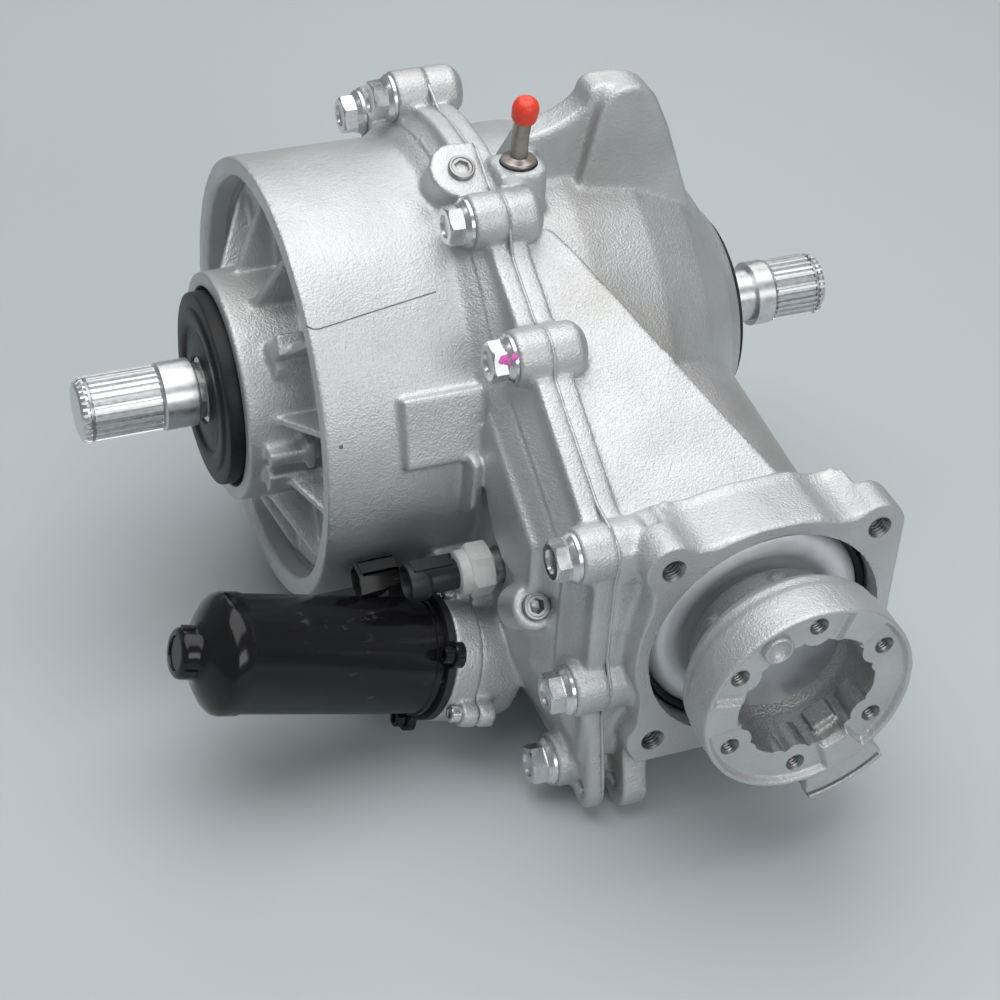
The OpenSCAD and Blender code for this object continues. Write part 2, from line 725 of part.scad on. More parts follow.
module front_bearing_cup() {
    color("slategray") placed() on_pinion(front_cone_f)
        bearing_cup(front_cup_r, 27.5, 4, front_cone_w);
}

module front_bearing_cone() {
    color("slategray") placed() on_pinion(front_cone_f)
        bearing_cone(pinion_shaft_r, 27.5, 4, front_cone_w, 14);
}

module left_output_bearing() {
    color("slategray") placed() on_axle(web_left_x - 18) {
        ring(45, 39, 14);
        ring(31, land_r + fit_gap, 14);
        for (i = [0 : 11]) rotate(i*30) translate([35, 0, 7]) sphere(r = 3.9);
    }
}

module pinion_seal() {
    color("black") placed() on_pinion(seal_f) lathe([[flange_hub_r + fit_gap, 0], [front_cup_r, 0],
        [front_cup_r, seal_w], [flange_hub_r + 5, seal_w], [flange_hub_r + fit_gap, seal_w - 4]]);
}

module bore_seal() {
    color("black") placed() on_pinion(bore_floor_f) lathe([[front_bore_r - 8, 0], [front_bore_r, 0],
        [front_bore_r, 9], [front_bore_r - 2, 11], [front_bore_r - 4, 9], [front_bore_r - 5, 4], [front_bore_r - 8, 3]]);
}

// Final drive. The ring gear's tooth faces are the envelope of the turning pinion.
ratio = ring_teeth/pinion_teeth;
spiral = 1.74;
ring_spiral = 0.32;
ring_mid_r = 95.3;
ring_in_r = ring_r - ring_face;
radial_steps = 6;
pitch_steps = 8;
scan_step = 0.5;
flank_play = 0.05;

function pinion_cone(f) = pinion_tip_r + pinion_slope*(f - gear_mid_f);
function tooth_wave(u) = abs(2*(u - floor(u)) - 1);
function pinion_radius(f, a, play = 0) =
    let (u = (a - spiral*(f - gear_mid_f))*pinion_teeth/360, w = tooth_wave(u))
    pinion_cone(f) - pinion_tooth*min(1, max(0, (w - 0.3 - play)/0.42));

// First place along X, from the left, where the turned pinion holds a point
function pinion_left(f, dz, turn, x, x_end) =
    x > x_end ? x_end :
    norm([x, dz]) < pinion_radius(f, atan2(dz, x) - turn, flank_play) ? x - scan_step :
    pinion_left(f, dz, turn, x + scan_step, x_end);

// Height of the ring gear's tooth face at radius r and angle t, measured along X
function ring_face_x(r, t) = min([
    for (swing = [-24 : 0.75 : 24])
        let (place = 195.2 + swing, f = -r*cos(place), dz = r*sin(place) + pinion_drop,
             tip = pinion_cone(f), core = tip - pinion_tooth,
             reach = abs(dz) < tip ? sqrt(tip*tip - dz*dz) : 0)
        reach == 0 ? 0 :
        pinion_left(f, dz, (place - t)*ratio, -reach, abs(dz) < core ? -sqrt(core*core - dz*dz) : 0)
    ]) - tooth_gap;

module ring_teeth_solid() {
    columns = ring_teeth*pitch_steps;
    base = ring_back_x + 16;
    r_at = [for (i = [0 : radial_steps]) ring_in_r + (ring_face - 0.3)*i/radial_steps];
    tip_at = [for (r = r_at) -(pinion_cone(sqrt(r*r - pinion_drop*pinion_drop)) - pinion_tooth) - tooth_gap];
    wave = [for (i = [0 : radial_steps]) [for (j = [0 : pitch_steps - 1])
        let (t = j*360/ring_teeth/pitch_steps + ring_spiral*(r_at[i] - ring_mid_r))
        min(tip_at[i], ring_face_x(r_at[i], t))]];
    top = [for (i = [0 : radial_steps]) for (j = [0 : columns - 1])
        let (t = j*360/columns + ring_spiral*(r_at[i] - ring_mid_r))
        [wave[i][j % pitch_steps], r_at[i]*cos(t), r_at[i]*sin(t)]];
    low = [for (i = [0, radial_steps]) for (j = [0 : columns - 1])
        let (t = j*360/columns + ring_spiral*(r_at[i] - ring_mid_r))
        [base, r_at[i]*cos(t), r_at[i]*sin(t)]];
    low0 = len(top);
    rows = radial_steps;
    faces = concat(
        [for (i = [0 : rows - 1]) for (j = [0 : columns - 1]) let (k = (j + 1) % columns)
            [i*columns + j, i*columns + k, (i + 1)*columns + k]],
        [for (i = [0 : rows - 1]) for (j = [0 : columns - 1]) let (k = (j + 1) % columns)
            [i*columns + j, (i + 1)*columns + k, (i + 1)*columns + j]],
        [for (j = [0 : columns - 1]) let (k = (j + 1) % columns) [low0 + j, low0 + k, k, j]],
        [for (j = [0 : columns - 1]) let (k = (j + 1) % columns)
            [rows*columns + j, rows*columns + k, low0 + columns + k, low0 + columns + j]],
        [for (j = [0 : columns - 1]) let (k = (j + 1) % columns)
            [low0 + columns + j, low0 + columns + k, low0 + k, low0 + j]]);
    polyhedron(concat(top, low), faces, convexity = 10);
}

ring_bolt_r = 86;
ring_bolts_n = 10;

module ring_gear() {
    color("darkgray") placed() union() {
        ring_teeth_solid();
        difference() {
            on_axle(ring_back_x) ring(ring_r, 72, 20.5);
            for (i = [0 : ring_bolts_n - 1])
                on_axle(ring_back_x - 1) rotate(i*360/ring_bolts_n) translate([ring_bolt_r, 0, 0])
                    cylinder(r = 5 + seat_gap, h = 16);
        }
    }
}

module ring_gear_bolts() {
    color("dimgray") placed() for (i = [0 : ring_bolts_n - 1])
        on_axle(case_flange_x) rotate(i*360/ring_bolts_n) translate([ring_bolt_r, 0, 0]) mirror([0, 0, 1])
            flange_bolt(9.5, 14, 8.5, 5, case_flange_t + 6);
}

// Pinion, with the tooth flanks taken from pinion_radius
module pinion_gear() {
    sections = 11;
    corners = [-0.36, -0.15, 0.15, 0.36];
    per = pinion_teeth*len(corners);
    f_at = [for (s = [0 : sections]) gear_toe_f + (gear_heel_f - gear_toe_f)*s/sections];
    points = [for (f = f_at) for (i = [0 : pinion_teeth - 1]) for (c = corners)
        let (a = (i + 0.5 + c)*360/pinion_teeth + spiral*(f - gear_mid_f), r = pinion_radius(f, a))
        [r*cos(a), -f, r*sin(a) - pinion_drop]];
    ends = [[0, -gear_toe_f, -pinion_drop], [0, -gear_heel_f, -pinion_drop]];
    last = sections*per;
    faces = concat(
        [for (s = [0 : sections - 1]) for (j = [0 : per - 1]) let (k = (j + 1) % per)
            [s*per + j, (s + 1)*per + k, s*per + k]],
        [for (s = [0 : sections - 1]) for (j = [0 : per - 1]) let (k = (j + 1) % per)
            [s*per + j, (s + 1)*per + j, (s + 1)*per + k]],
        [for (j = [0 : per - 1]) [last + per, j, (j + 1) % per]],
        [for (j = [0 : per - 1]) [last + per + 1, last + (j + 1) % per, last + j]]);
    polyhedron(concat(points, ends), faces, convexity = 10);
}

module pinion_shaft() {
    color("darkgray") placed() union() {
        pinion_gear();
        on_pinion() lathe([[0, gear_heel_f - 10], [24, gear_heel_f - 10], [24, rear_cone_f - seat_gap], [rear_cone_r - seat_gap, rear_cone_f - seat_gap],
            [rear_cone_r - seat_gap, rear_cone_f + rear_cone_w + 4], [pinion_shaft_r - seat_gap, rear_cone_f + rear_cone_w + 10],
            [pinion_shaft_r - seat_gap, front_cone_end_f + 0.5], [14, front_cone_end_f + 0.5], [14, nut_f], [10, nut_f], [10, cup_back_f - 1.5], [0, cup_back_f - 1.5]]);
    }
}

module crush_sleeve() {
    length = front_cone_f - rear_cone_f - rear_cone_w - 2*seat_gap;
    bulge = 6;
    color("gray") placed() on_pinion(rear_cone_f + rear_cone_w + seat_gap)
        lathe([[rear_cone_r, 0], [rear_cone_r + 4, 0], [rear_cone_r + 4, length/2 - bulge],
            [rear_cone_r + 7, length/2], [rear_cone_r + 4, length/2 + bulge],
            [rear_cone_r + 4, length], [rear_cone_r, length]]);
}

module pinion_nut() {
    color("gray") placed() on_pinion(nut_f + seat_gap) difference() {
        union() {
            cylinder(r = 19, h = 3);
            cylinder(r = 17, h = 9, $fn = 6);
        }
        translate([0, 0, -1]) cylinder(r = 10 + seat_gap, h = 20);
    }
}

// Input flange
tab_angle = -64;
module input_flange() {
    color("silver") placed() on_pinion() difference() {
        union() {
            lathe([[14 + seat_gap, front_cone_end_f + 1], [flange_hub_r, front_cone_end_f + 1],
                [flange_hub_r, nose_length - 12], [30, nose_length - 4], [34, cup_back_f - 8],
                [input_r - 5, cup_back_f + 3], [input_r - 1.5, cup_back_f + 8], [input_r - 1.5, input_face_f - 12],
                [input_r, input_face_f - 10], [input_r, input_face_f - 1], [input_r - 1, input_face_f],
                [bowl_r + 2, input_face_f], [bowl_r, input_face_f - 3], [bowl_r - 2, cup_back_f + 10], [bowl_r - 6, cup_back_f + 3],
                [24, cup_back_f], [24, nut_f], [14 + seat_gap, nut_f]]);
            for (i = [0 : input_holes - 1])
                rotate(90 + i*360/input_holes) translate([input_pcd/2 - 3.5, 0, input_face_f - 20]) cylinder(r = 8, h = 19);
            translate([0, 0, input_face_f - 19]) rotate(tab_angle) linear_extrude(17) intersection() {
                difference() {
                    circle(r = input_r + 13);
                    circle(r = input_r - 3);
                }
                polygon([[0, 0], [90, -30], [90, 30]]);
            }
        }
        for (i = [0 : input_holes - 1])
            rotate(90 + i*360/input_holes) translate([input_pcd/2, 0, input_face_f - 18]) cylinder(r = input_hole_r, h = 20);
    }
}

module flange_cap() {
    color("gray") placed() on_pinion(cup_back_f + 0.1) lathe([[0, 0], [23.9, 0], [23.9, 1], [20, 2.4], [0, 2.8]]);
}

module dust_deflector() {
    color("lightgray") placed() on_pinion(nose_length - 13) lathe([[flange_hub_r + fit_gap, -8], [flange_hub_r + 4, -8], [flange_hub_r + 4, -2],
        [36, 0], [deflector_r - 5, -3], [deflector_r, -7], [deflector_r + 2, -6], [deflector_r - 3, 0], [deflector_r - 8, 3],
        [36, 5], [flange_hub_r + fit_gap, 1]]);
}

// Differential case
module diff_case() {
    color("dimgray") placed() difference() {
        union() {
            on_axle(case_flange_x) ring(98, 30, case_flange_t);
            on_axle(ring_back_x + seat_gap) ring(72 - seat_gap, 30, 5);
            on_axle() lathe([[20, wall_left_x - 8], [sleeve_r, wall_left_x - 8], [sleeve_r, wall_right_x - seat_gap], [42, wall_right_x + seat_gap],
                [46, case_flange_x], [60, ring_back_x], [case_r + 3, -20], [case_r + 3, 20], [48, 34],
                [42, right_bearing_x - seat_gap], [trunnion_r, right_bearing_x - seat_gap],
                [trunnion_r, case_end_x], [20, case_end_x]]);
            on_axle(pack_right_x - pack_length) ring(sleeve_r, 20, wall_left_x - pack_right_x + pack_length);
        }
        sphere(r = cavity_r);
        on_axle(drum_end_x) cylinder(r = 20, h = 400);
        cylinder(r = cross_pin_r + seat_gap, h = 200, center = true);
        cube([34, 200, 44], center = true);
        for (i = [0 : ring_bolts_n - 1])
            on_axle(case_flange_x - 1) rotate(i*360/ring_bolts_n) translate([ring_bolt_r, 0, 0]) cylinder(r = 5.2, h = 20);
    }
}

module cross_pin() {
    color("lightgray") placed() cylinder(r = cross_pin_r, h = 2*case_r + 2, center = true);
}

// Straight bevel gears that share the apex at the centre of the case
function bevel_angle(own, other) = atan(own/other);
cone_distance = diff_module/2*norm([side_teeth, spider_teeth]);
pressure = 22.5;
function roll(a) = tan(a)*180/PI - a;

module bevel_teeth(own, other, shift) {
    delta = bevel_angle(own, other);
    virtual = diff_module*own/2/cos(delta);
    base = virtual*cos(pressure);
    half = 90/own*cos(delta) - diff_backlash/4/virtual*180/PI;
    radii = [virtual - 1.15*diff_module, virtual - 0.4*diff_module, virtual, virtual + 0.75*diff_module];
    flank = [for (r = radii) let (a = r > base ? acos(base/r) : 0)
        [delta + (r - virtual)/cone_distance*180/PI, (half + roll(pressure) - roll(a))*r/virtual]];
    spread = [for (p = flank) [p[0], p[1]*virtual/(cone_distance*sin(p[0]))]];
    profile = concat([for (i = [0 : 3]) [spread[i][0], -spread[i][1]]], [for (i = [3 : -1 : 0]) spread[i]]);
    n = own*len(profile);
    points = [for (s = [cone_distance - diff_face, cone_distance]) for (i = [0 : own - 1]) for (p = profile)
        let (g = p[0], a = (i + shift)*360/own + p[1])
        [s*sin(g)*cos(a), s*sin(g)*sin(a), s*cos(g)]];
    all = concat(points, [[0, 0, (cone_distance - diff_face)*cos(delta)], [0, 0, cone_distance*cos(delta)]]);
    faces = concat(
        [for (j = [0 : n - 1]) let (k = (j + 1) % n) [j, n + k, k]],
        [for (j = [0 : n - 1]) let (k = (j + 1) % n) [j, n + j, n + k]],
        [for (j = [0 : n - 1]) let (k = (j + 1) % n) [2*n, j, k]],
        [for (j = [0 : n - 1]) let (k = (j + 1) % n) [2*n + 1, n + k, n + j]]);
    polyhedron(all, faces, convexity = 10);
}

module side_gear(shift = 0) {
    difference() {
        union() {
            bevel_teeth(side_teeth, spider_teeth, shift);
            translate([0, 0, 20]) cylinder(r = 20.5, h = 15);
        }
        cylinder(r = shaft_spline_bore, h = 100);
    }
}

module spider_gear() {
    difference() {
        union() {
            bevel_teeth(spider_teeth, side_teeth, 0.5);
            translate([0, 0, 28]) cylinder(r = 15, h = 9.5);
        }
        cylinder(r = cross_pin_r + fit_gap, h = 100);
    }
}

module upper_spider_gear() { color("silver") placed() spider_gear(); }
module lower_spider_gear() { color("silver") placed() mirror([0, 0, 1]) spider_gear(); }
module right_side_gear() { color("silver") placed() rotate([0, 90, 0]) side_gear(); }
module left_side_gear() { color("silver") placed() mirror([1, 0, 0]) rotate([0, 90, 0]) side_gear(); }

// Output shafts
module splined(r, depth, teeth, length) {
    linear_extrude(length) union() {
        circle(r = r - depth);
        for (i = [0 : teeth - 1]) rotate(i*360/teeth)
            polygon([[r - depth - 1, -1.25], [r, -0.7], [r, 0.7], [r - depth - 1, 1.25]]);
    }
}

// Visible end of an output, from the tip inward; the tip is at zero
module output_end(spline_length, collar) {
    tip = 6.5;
    groove = 2;
    chamfer = 2;
    lathe([[0, 0], [spline_r - spline_depth - chamfer, 0], [spline_r - spline_depth, chamfer], [spline_r - spline_depth, tip - groove],
        [spline_r - 3.2, tip - groove], [spline_r - 3.2, tip + 1], [0, tip + 1]]);
    intersection() {
        translate([0, 0, 1]) splined(spline_r, spline_depth, spline_teeth, tip - groove - 1);
        lathe([[0, 0], [spline_r - chamfer, 0], [spline_r, chamfer + 1], [spline_r, 40], [0, 40]]);
    }
    translate([0, 0, tip]) splined(spline_r, spline_depth, spline_teeth, spline_length);
    translate([0, 0, tip + spline_length]) lathe([[0, 0], [spline_r - spline_depth, 0], [collar_r, 2], [collar_r, collar], [0, collar]]);
}

module left_output_shaft() {
    inner = left_reach - 6.5 - left_spline - left_collar;
    color("lightgray") placed() union() {
        translate([-left_reach, 0, 0]) rotate([0, 90, 0]) output_end(left_spline, left_collar);
        on_axle() lathe([[0, -inner - 0.5], [15.2, -inner - 0.5], [14.6, -inner + 1], [14.6, hub_end_x - 9], [land_r, hub_end_x - 5],
            [land_r, drum_wall_left_x - 1], [22, drum_wall_left_x - 1], [22, drum_wall_right_x], [shaft_r, drum_wall_right_x],
            [shaft_r, -23], [0, -23]]);
    }
}

module right_output_shaft() {
    inner = right_reach - 6.5 - right_spline - right_collar;
    color("lightgray") placed() union() {
        translate([right_reach, 0, 0]) rotate([0, -90, 0]) output_end(right_spline, right_collar);
        on_axle() lathe([[0, 23], [shaft_r, 23], [shaft_r, case_end_x + 0.5], [land_r - 3, case_end_x + 2], [land_r - 3, 84], [14.6, 88], [14.6, inner], [0, inner]]);
    }
}

module circlip() {
    linear_extrude(1.6) difference() {
        circle(r = spline_r - 0.9);
        circle(r = spline_r - 3.2 + seat_gap);
        translate([0, -3]) square([30, 6]);
    }
}

module left_circlip() {
    color("dimgray") placed() translate([-left_reach + 4.7, 0, 0]) rotate([0, 90, 0]) circlip();
}

module right_circlip() {
    color("dimgray") placed() translate([right_reach - 4.7, 0, 0]) rotate([0, -90, 0]) circlip();
}

// Clutch
module clutch_hub() {
    color("gray") placed() on_axle(pack_right_x - pack_length) linear_extrude(pack_length + 0.3) difference() {
        castellated(hub_spline_r, hub_tooth, 24, 0.5);
        circle(r = sleeve_r + seat_gap);
    }
}

module steel_discs() {
    color("lightsteelblue") placed() for (i = [0 : disc_pairs - 1])
        on_axle(pack_right_x - (2*i + 1)*disc_pitch + disc_gap/2) linear_extrude(disc_t) difference() {
            circle(r = disc_r);
            castellated(hub_spline_r + 0.2, hub_tooth + 0.2, 24, 0.56);
        }
}

drum_tabs = 12;
tab_w = 9;
module friction_discs() {
    color("sienna") placed() for (i = [0 : disc_pairs - 1])
        on_axle(pack_right_x - (2*i + 2)*disc_pitch + disc_gap/2) linear_extrude(disc_t) difference() {
            union() {
                circle(r = disc_r);
                for (k = [0 : drum_tabs - 1]) rotate(k*360/drum_tabs) translate([60, -tab_w/2]) square([clutch_in_r - 60 + 3, tab_w]);
            }
            circle(r = hub_spline_r + hub_tooth + 2.5);
        }
}

module clutch_drum() {
    color("gray") placed() {
        on_axle(drum_wall_left_x) ring(clutch_out_r, 22 + seat_gap, clutch_wall);
        on_axle(drum_wall_left_x) linear_extrude(pack_right_x - drum_wall_left_x - 0.5) difference() {
            circle(r = clutch_out_r);
            circle(r = clutch_in_r);
            for (k = [0 : drum_tabs - 1]) rotate(k*360/drum_tabs)
                translate([60, -tab_w/2 - 0.25]) square([clutch_in_r - 60 + 3.4, tab_w + 0.5]);
        }
    }
}

// Ball ramp
module ramp_grooves(from, to) {
    for (k = [0 : ramp_balls_n - 1]) rotate(k*360/ramp_balls_n + from) {
        rotate_extrude(angle = to - from) translate([ramp_r, 0]) circle(r = ball_r + 0.25);
    }
}

ball_x = ramp_left_x - ramp_clear/2;
ball_room = asin((ball_r + 0.3)/ramp_r);
idler_dir = atan2(idler_z, idler_y) + 360;

module ramp_thrust_bearing() {
    roller_r = 0.7;
    rollers = 40;
    race_t = 0.85;
    color("slategray") placed() on_axle(ramp_right_x + fit_gap) {
        ring(86, 60, race_t);
        for (i = [0 : rollers - 1]) rotate(i*360/rollers) translate([64, 0, race_t + fit_gap + roller_r])
            rotate([0, 90, 0]) cylinder(r = roller_r, h = 18);
        translate([0, 0, race_t + 2*fit_gap + 2*roller_r]) ring(86, 60, race_t);
    }
}

// Gear outline with straight flanks; centre of a tooth on the first axis, or of a gap with shift 0.5
module gear_outline(m, teeth, shift = 0, first = 0, last = -1) {
    r = m*teeth/2;
    step = 360/teeth;
    end = last < 0 ? teeth - 1 : last;
    circle(r = r - 1.2*m);
    for (i = [first : end]) rotate((i + shift)*step)
        polygon([[r - 1.6*m, -1.05*m], [r - 1.1*m, -1.05*m], [r, -0.7*m], [r + 0.9*m, -0.32*m], [r + 0.9*m, 0.32*m],
            [r, 0.7*m], [r - 1.1*m, 1.05*m], [r - 1.6*m, 1.05*m]]);
}

module ramp_ring() {
    reach = ceil(ramp_turn*ramp_teeth/360);
    color("gray") placed() difference() {
        union() {
            on_axle(ramp_left_x) ring(90, ramp_in_r, ramp_t);
            on_axle(gear_x - act_face/2) rotate(idler_dir) intersection() {
                linear_extrude(act_face) gear_outline(act_module, ramp_teeth, 0, -reach - 5, 5);
                linear_extrude(act_face) polygon([[0, 0], [140*cos(ramp_turn + 12), -140*sin(ramp_turn + 12)], [160, -60], [160, 20], [140*cos(12), 140*sin(12)]]);
            }
        }
        on_axle(ramp_left_x - 1) cylinder(r = ramp_in_r, h = 30);
        on_axle(ball_x) ramp_grooves(-ramp_turn/2 - ball_room, ball_room);
    }
}

module ramp_balls() {
    color("lightgray") placed() on_axle(ball_x) for (k = [0 : ramp_balls_n - 1])
        rotate(k*360/ramp_balls_n) translate([ramp_r, 0, 0]) sphere(r = ball_r);
}

module pressure_ring() {
    color("gray") placed() difference() {
        on_axle(press_left_x) ring(disc_r + 1, ramp_in_r, press_t);
        on_axle(ball_x) ramp_grooves(-ball_room, ramp_turn/2 + ball_room);
    }
}

module idler_gear() {
    color("dimgray") placed() on_axle(gear_x - act_face/2) translate([idler_y, idler_z, 0]) linear_extrude(act_face) difference() {
        rotate(idler_dir - 180) gear_outline(act_module, idler_teeth, 0.5);
        circle(r = 5 + fit_gap);
        for (i = [0 : 5]) rotate(i*60) translate([20, 0]) circle(r = 6);
    }
}

module idler_pin() {
    color("lightgray") placed() on_axle(gear_x - act_face/2 - 4) translate([idler_y, idler_z, 0]) cylinder(r = 5, h = 18);
}

// Actuator
adapter_screw_places = [[33, 10], [-34, 12], [-8, -36]];
adapter_lug = 9;
adapter_lug_r = 6.5;
adapter_arm = 10;
adapter_screw_r = 2.4;
adapter_head_r = 4.2;

module adapter_block() {
    color("silver") placed() difference() {
        union() {
            on_motor(adapter_back_s + seat_gap) cylinder(r = adapter_r, h = can_s - motor_flange_t - adapter_back_s - 2*seat_gap);
            for (p = adapter_screw_places)
                on_motor(adapter_back_s + seat_gap) translate([p[0], p[1], 0])
                    cylinder(r = adapter_lug_r, h = adapter_lug);
        }
        on_motor(0) cylinder(r = rotor_r - 9, h = 60);
        for (p = adapter_screw_places) {
            on_motor(0) translate([p[0], p[1], 0]) cylinder(r = adapter_screw_r + fit_gap, h = 60);
            on_motor(adapter_back_s + adapter_lug + seat_gap) translate([p[0], p[1], 0])
                cylinder(r = adapter_head_r + free_gap, h = 60);
        }
        // room for the casing round the idler
        on_axle(idler_case_x - seat_gap) translate([idler_y, idler_z, 0]) cylinder(r = idler_case_r + seat_gap, h = 60);
    }
}

module adapter_screws() {
    color("lightgray") placed() for (p = adapter_screw_places)
        on_motor(adapter_back_s + adapter_lug + 2*seat_gap) translate([p[0], p[1], 0])
            socket_screw(adapter_head_r, 5, adapter_screw_r, adapter_lug + 6);
}

module motor_flange() {
    color("black") placed() on_motor(can_s - motor_flange_t) linear_extrude(motor_flange_t - seat_gap) difference() {
        union() {
            circle(r = can_r + 3);
            for (a = [70, 190, 310]) hull() {
                circle(r = 12);
                rotate(a) translate([can_r + 7, 0]) circle(r = 6);
            }
        }
        circle(r = motor_shaft_r + fit_gap);
        for (a = [70, 190, 310]) rotate(a) translate([can_r + 7, 0]) circle(r = 2.6);
    }
}

module motor_bolts() {
    color("black") placed() for (a = [70, 190, 310])
        on_motor(can_s) rotate(a) translate([can_r + 7, 0, 0]) socket_screw(4.6, 6, 2.5, 3.9);
}

module motor_can() {
    color("black") placed() on_motor(can_s) lathe([[can_r - 2, 0], [can_r, 0], [can_r, can_length - 3], [can_r + 0.8, can_length - 2],
        [can_r + 0.8, can_length], [can_r - 2, can_length + 2], [can_r - 7, can_length + 6], [can_r - 12, can_length + 9],
        [nub_r, can_length + 10], [nub_r, can_length + 18], [nub_r - 1.5, can_length + 19.5], [0, can_length + 19.5],
        [0, can_length + 14], [motor_shaft_r + fit_gap, can_length + 14], [motor_shaft_r + fit_gap, can_length + 6],
        [can_r - 9, can_length + 4], [can_r - 2, can_length - 2]]);
}

pinion_twist = motor_pinion_w*tan(motor_tilt)/motor_pinion_r*180/PI;
idler_mesh = (360 - idler_dir)/idler_step;
pinion_phase = (1 - (idler_mesh - floor(idler_mesh)))*360/motor_teeth;

module motor_rotor() {
    color("silver") placed() {
        on_motor(can_s + 4) cylinder(r = rotor_r, h = can_length - 14);
        on_motor(3) cylinder(r = motor_shaft_r, h = can_s + can_length + 9);
        on_motor(-motor_pinion_w/2) linear_extrude(height = motor_pinion_w, twist = -pinion_twist, slices = 4)
            rotate(90 + pinion_phase - pinion_twist/2) gear_outline(act_module/cos(motor_tilt)*0.985, motor_teeth);
    }
}

module motor_connector() {
    color("black") placed() difference() {
        translate(motor_plug_at) rotate([0, -90, 0]) difference() {
            union() {
                translate([-18, -8, -14]) cube([26, 16, 18]);
                translate([0, 0, 3]) cylinder(r = 9, h = 9);
            }
            cylinder(r = 7.4, h = 20);
        }
        on_motor(can_s) cylinder(r = can_r + seat_gap, h = can_length);
    }
}

// Sensor
module on_sensor(s = 0) {
    translate(sensor_at) rotate([0, -90, 0]) translate([0, 0, s]) children();
}

module sensor_body() {
    color("gray") placed() on_sensor() lathe([[0, -14], [9, -14], [9, 6], [0, 6]]);
}

module sensor_nut() {
    color("white") placed() on_sensor(6 + seat_gap) {
        cylinder(r = nut_r, h = nut_length, $fn = 6);
        translate([0, 0, nut_length]) lathe([[0, 0], [11, 0], [11.5, 1], [11.5, 4], [10, 5.5], [0, 5.5]]);
    }
}

module sensor_connector() {
    color("black") placed() on_sensor(6 + nut_length + 5.5 + 3*seat_gap) difference() {
        union() {
            lathe([[0, 0], [8.2, 0], [8.2, 16], [10, 18], [10, 26], [0, 26]]);
            translate([-4, 6, 2]) cube([8, 4.6, 20]);
        }
        translate([0, 0, 12]) cylinder(r = 7.4, h = 20);
    }
}

main_housing();
left_casing();
end_cover();
cover_snap_ring();
housing_bolts();
fill_plug();
level_plug();
breather_tube();
breather_cap();
left_seal();
right_seal();
left_bearing_cup();
right_bearing_cup();
rear_bearing_cup();
front_bearing_cup();
ramp_thrust_bearing();
left_output_bearing();
pinion_seal();
bore_seal();
ring_gear();
ring_gear_bolts();
diff_case();
cross_pin();
left_bearing_cone();
right_bearing_cone();
clutch_hub();
steel_discs();
upper_spider_gear();
lower_spider_gear();
left_side_gear();
left_output_shaft();
left_circlip();
clutch_drum();
friction_discs();
right_side_gear();
right_output_shaft();
right_circlip();
pinion_shaft();
rear_bearing_cone();
front_bearing_cone();
crush_sleeve();
pinion_nut();
input_flange();
flange_cap();
dust_deflector();
ramp_ring();
ramp_balls();
pressure_ring();
idler_gear();
idler_pin();
adapter_block();
adapter_screws();
motor_can();
motor_rotor();
motor_flange();
motor_bolts();
motor_connector();
sensor_body();
sensor_nut();
sensor_connector();
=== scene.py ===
"""Looks of the rear differential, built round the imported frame.

Sizes are in millimetres from the axle line, with X to the right output and -Y to the input flange.
SHIFT and MM bring them to the row frame, which is in metres. A paint's sizes are in metres too.
"""
import json
import math

import bpy
import numpy as np
from mathutils import Matrix, Vector
from mathutils.geometry import tessellate_polygon


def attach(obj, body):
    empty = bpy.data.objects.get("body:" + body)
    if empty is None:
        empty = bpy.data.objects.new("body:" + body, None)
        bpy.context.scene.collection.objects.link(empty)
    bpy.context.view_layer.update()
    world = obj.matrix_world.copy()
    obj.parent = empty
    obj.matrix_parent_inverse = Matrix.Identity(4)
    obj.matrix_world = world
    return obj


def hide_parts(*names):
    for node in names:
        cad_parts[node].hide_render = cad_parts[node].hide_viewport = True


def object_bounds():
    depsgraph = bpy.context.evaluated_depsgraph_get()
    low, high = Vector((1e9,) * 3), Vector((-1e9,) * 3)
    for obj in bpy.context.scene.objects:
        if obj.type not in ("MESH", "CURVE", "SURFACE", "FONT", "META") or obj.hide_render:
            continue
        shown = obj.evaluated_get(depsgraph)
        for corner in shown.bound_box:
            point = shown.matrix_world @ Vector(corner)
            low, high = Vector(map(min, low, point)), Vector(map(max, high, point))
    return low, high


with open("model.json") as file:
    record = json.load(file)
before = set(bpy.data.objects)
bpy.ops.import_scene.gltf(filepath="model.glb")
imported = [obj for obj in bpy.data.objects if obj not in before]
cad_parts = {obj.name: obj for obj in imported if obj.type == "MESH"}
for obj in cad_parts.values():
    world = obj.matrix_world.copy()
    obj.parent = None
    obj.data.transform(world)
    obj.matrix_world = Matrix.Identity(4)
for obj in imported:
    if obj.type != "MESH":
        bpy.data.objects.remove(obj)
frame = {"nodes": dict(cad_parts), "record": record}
cad_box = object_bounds()
NODES = frame["nodes"]

# The row frame starts at the front mounting face, ahead of the axle and below it
MM = 0.001
NOSE = 239.0
DROP = 25.0
SHIFT = (0, NOSE, DROP)

# Camera, fitted to the photograph
CAMERA_AZIMUTH = -23.614
CAMERA_ELEVATION = 38.123
CAMERA_ROLL = 3.885
CAMERA_PLACE = (-0.46770, -0.74288, 0.75248)
CAMERA_LENS = 86.15
CAMERA_SENSOR = 36.0


def link_object(name, data):
    made = bpy.data.objects.new(name, data)
    bpy.context.scene.collection.objects.link(made)
    return made


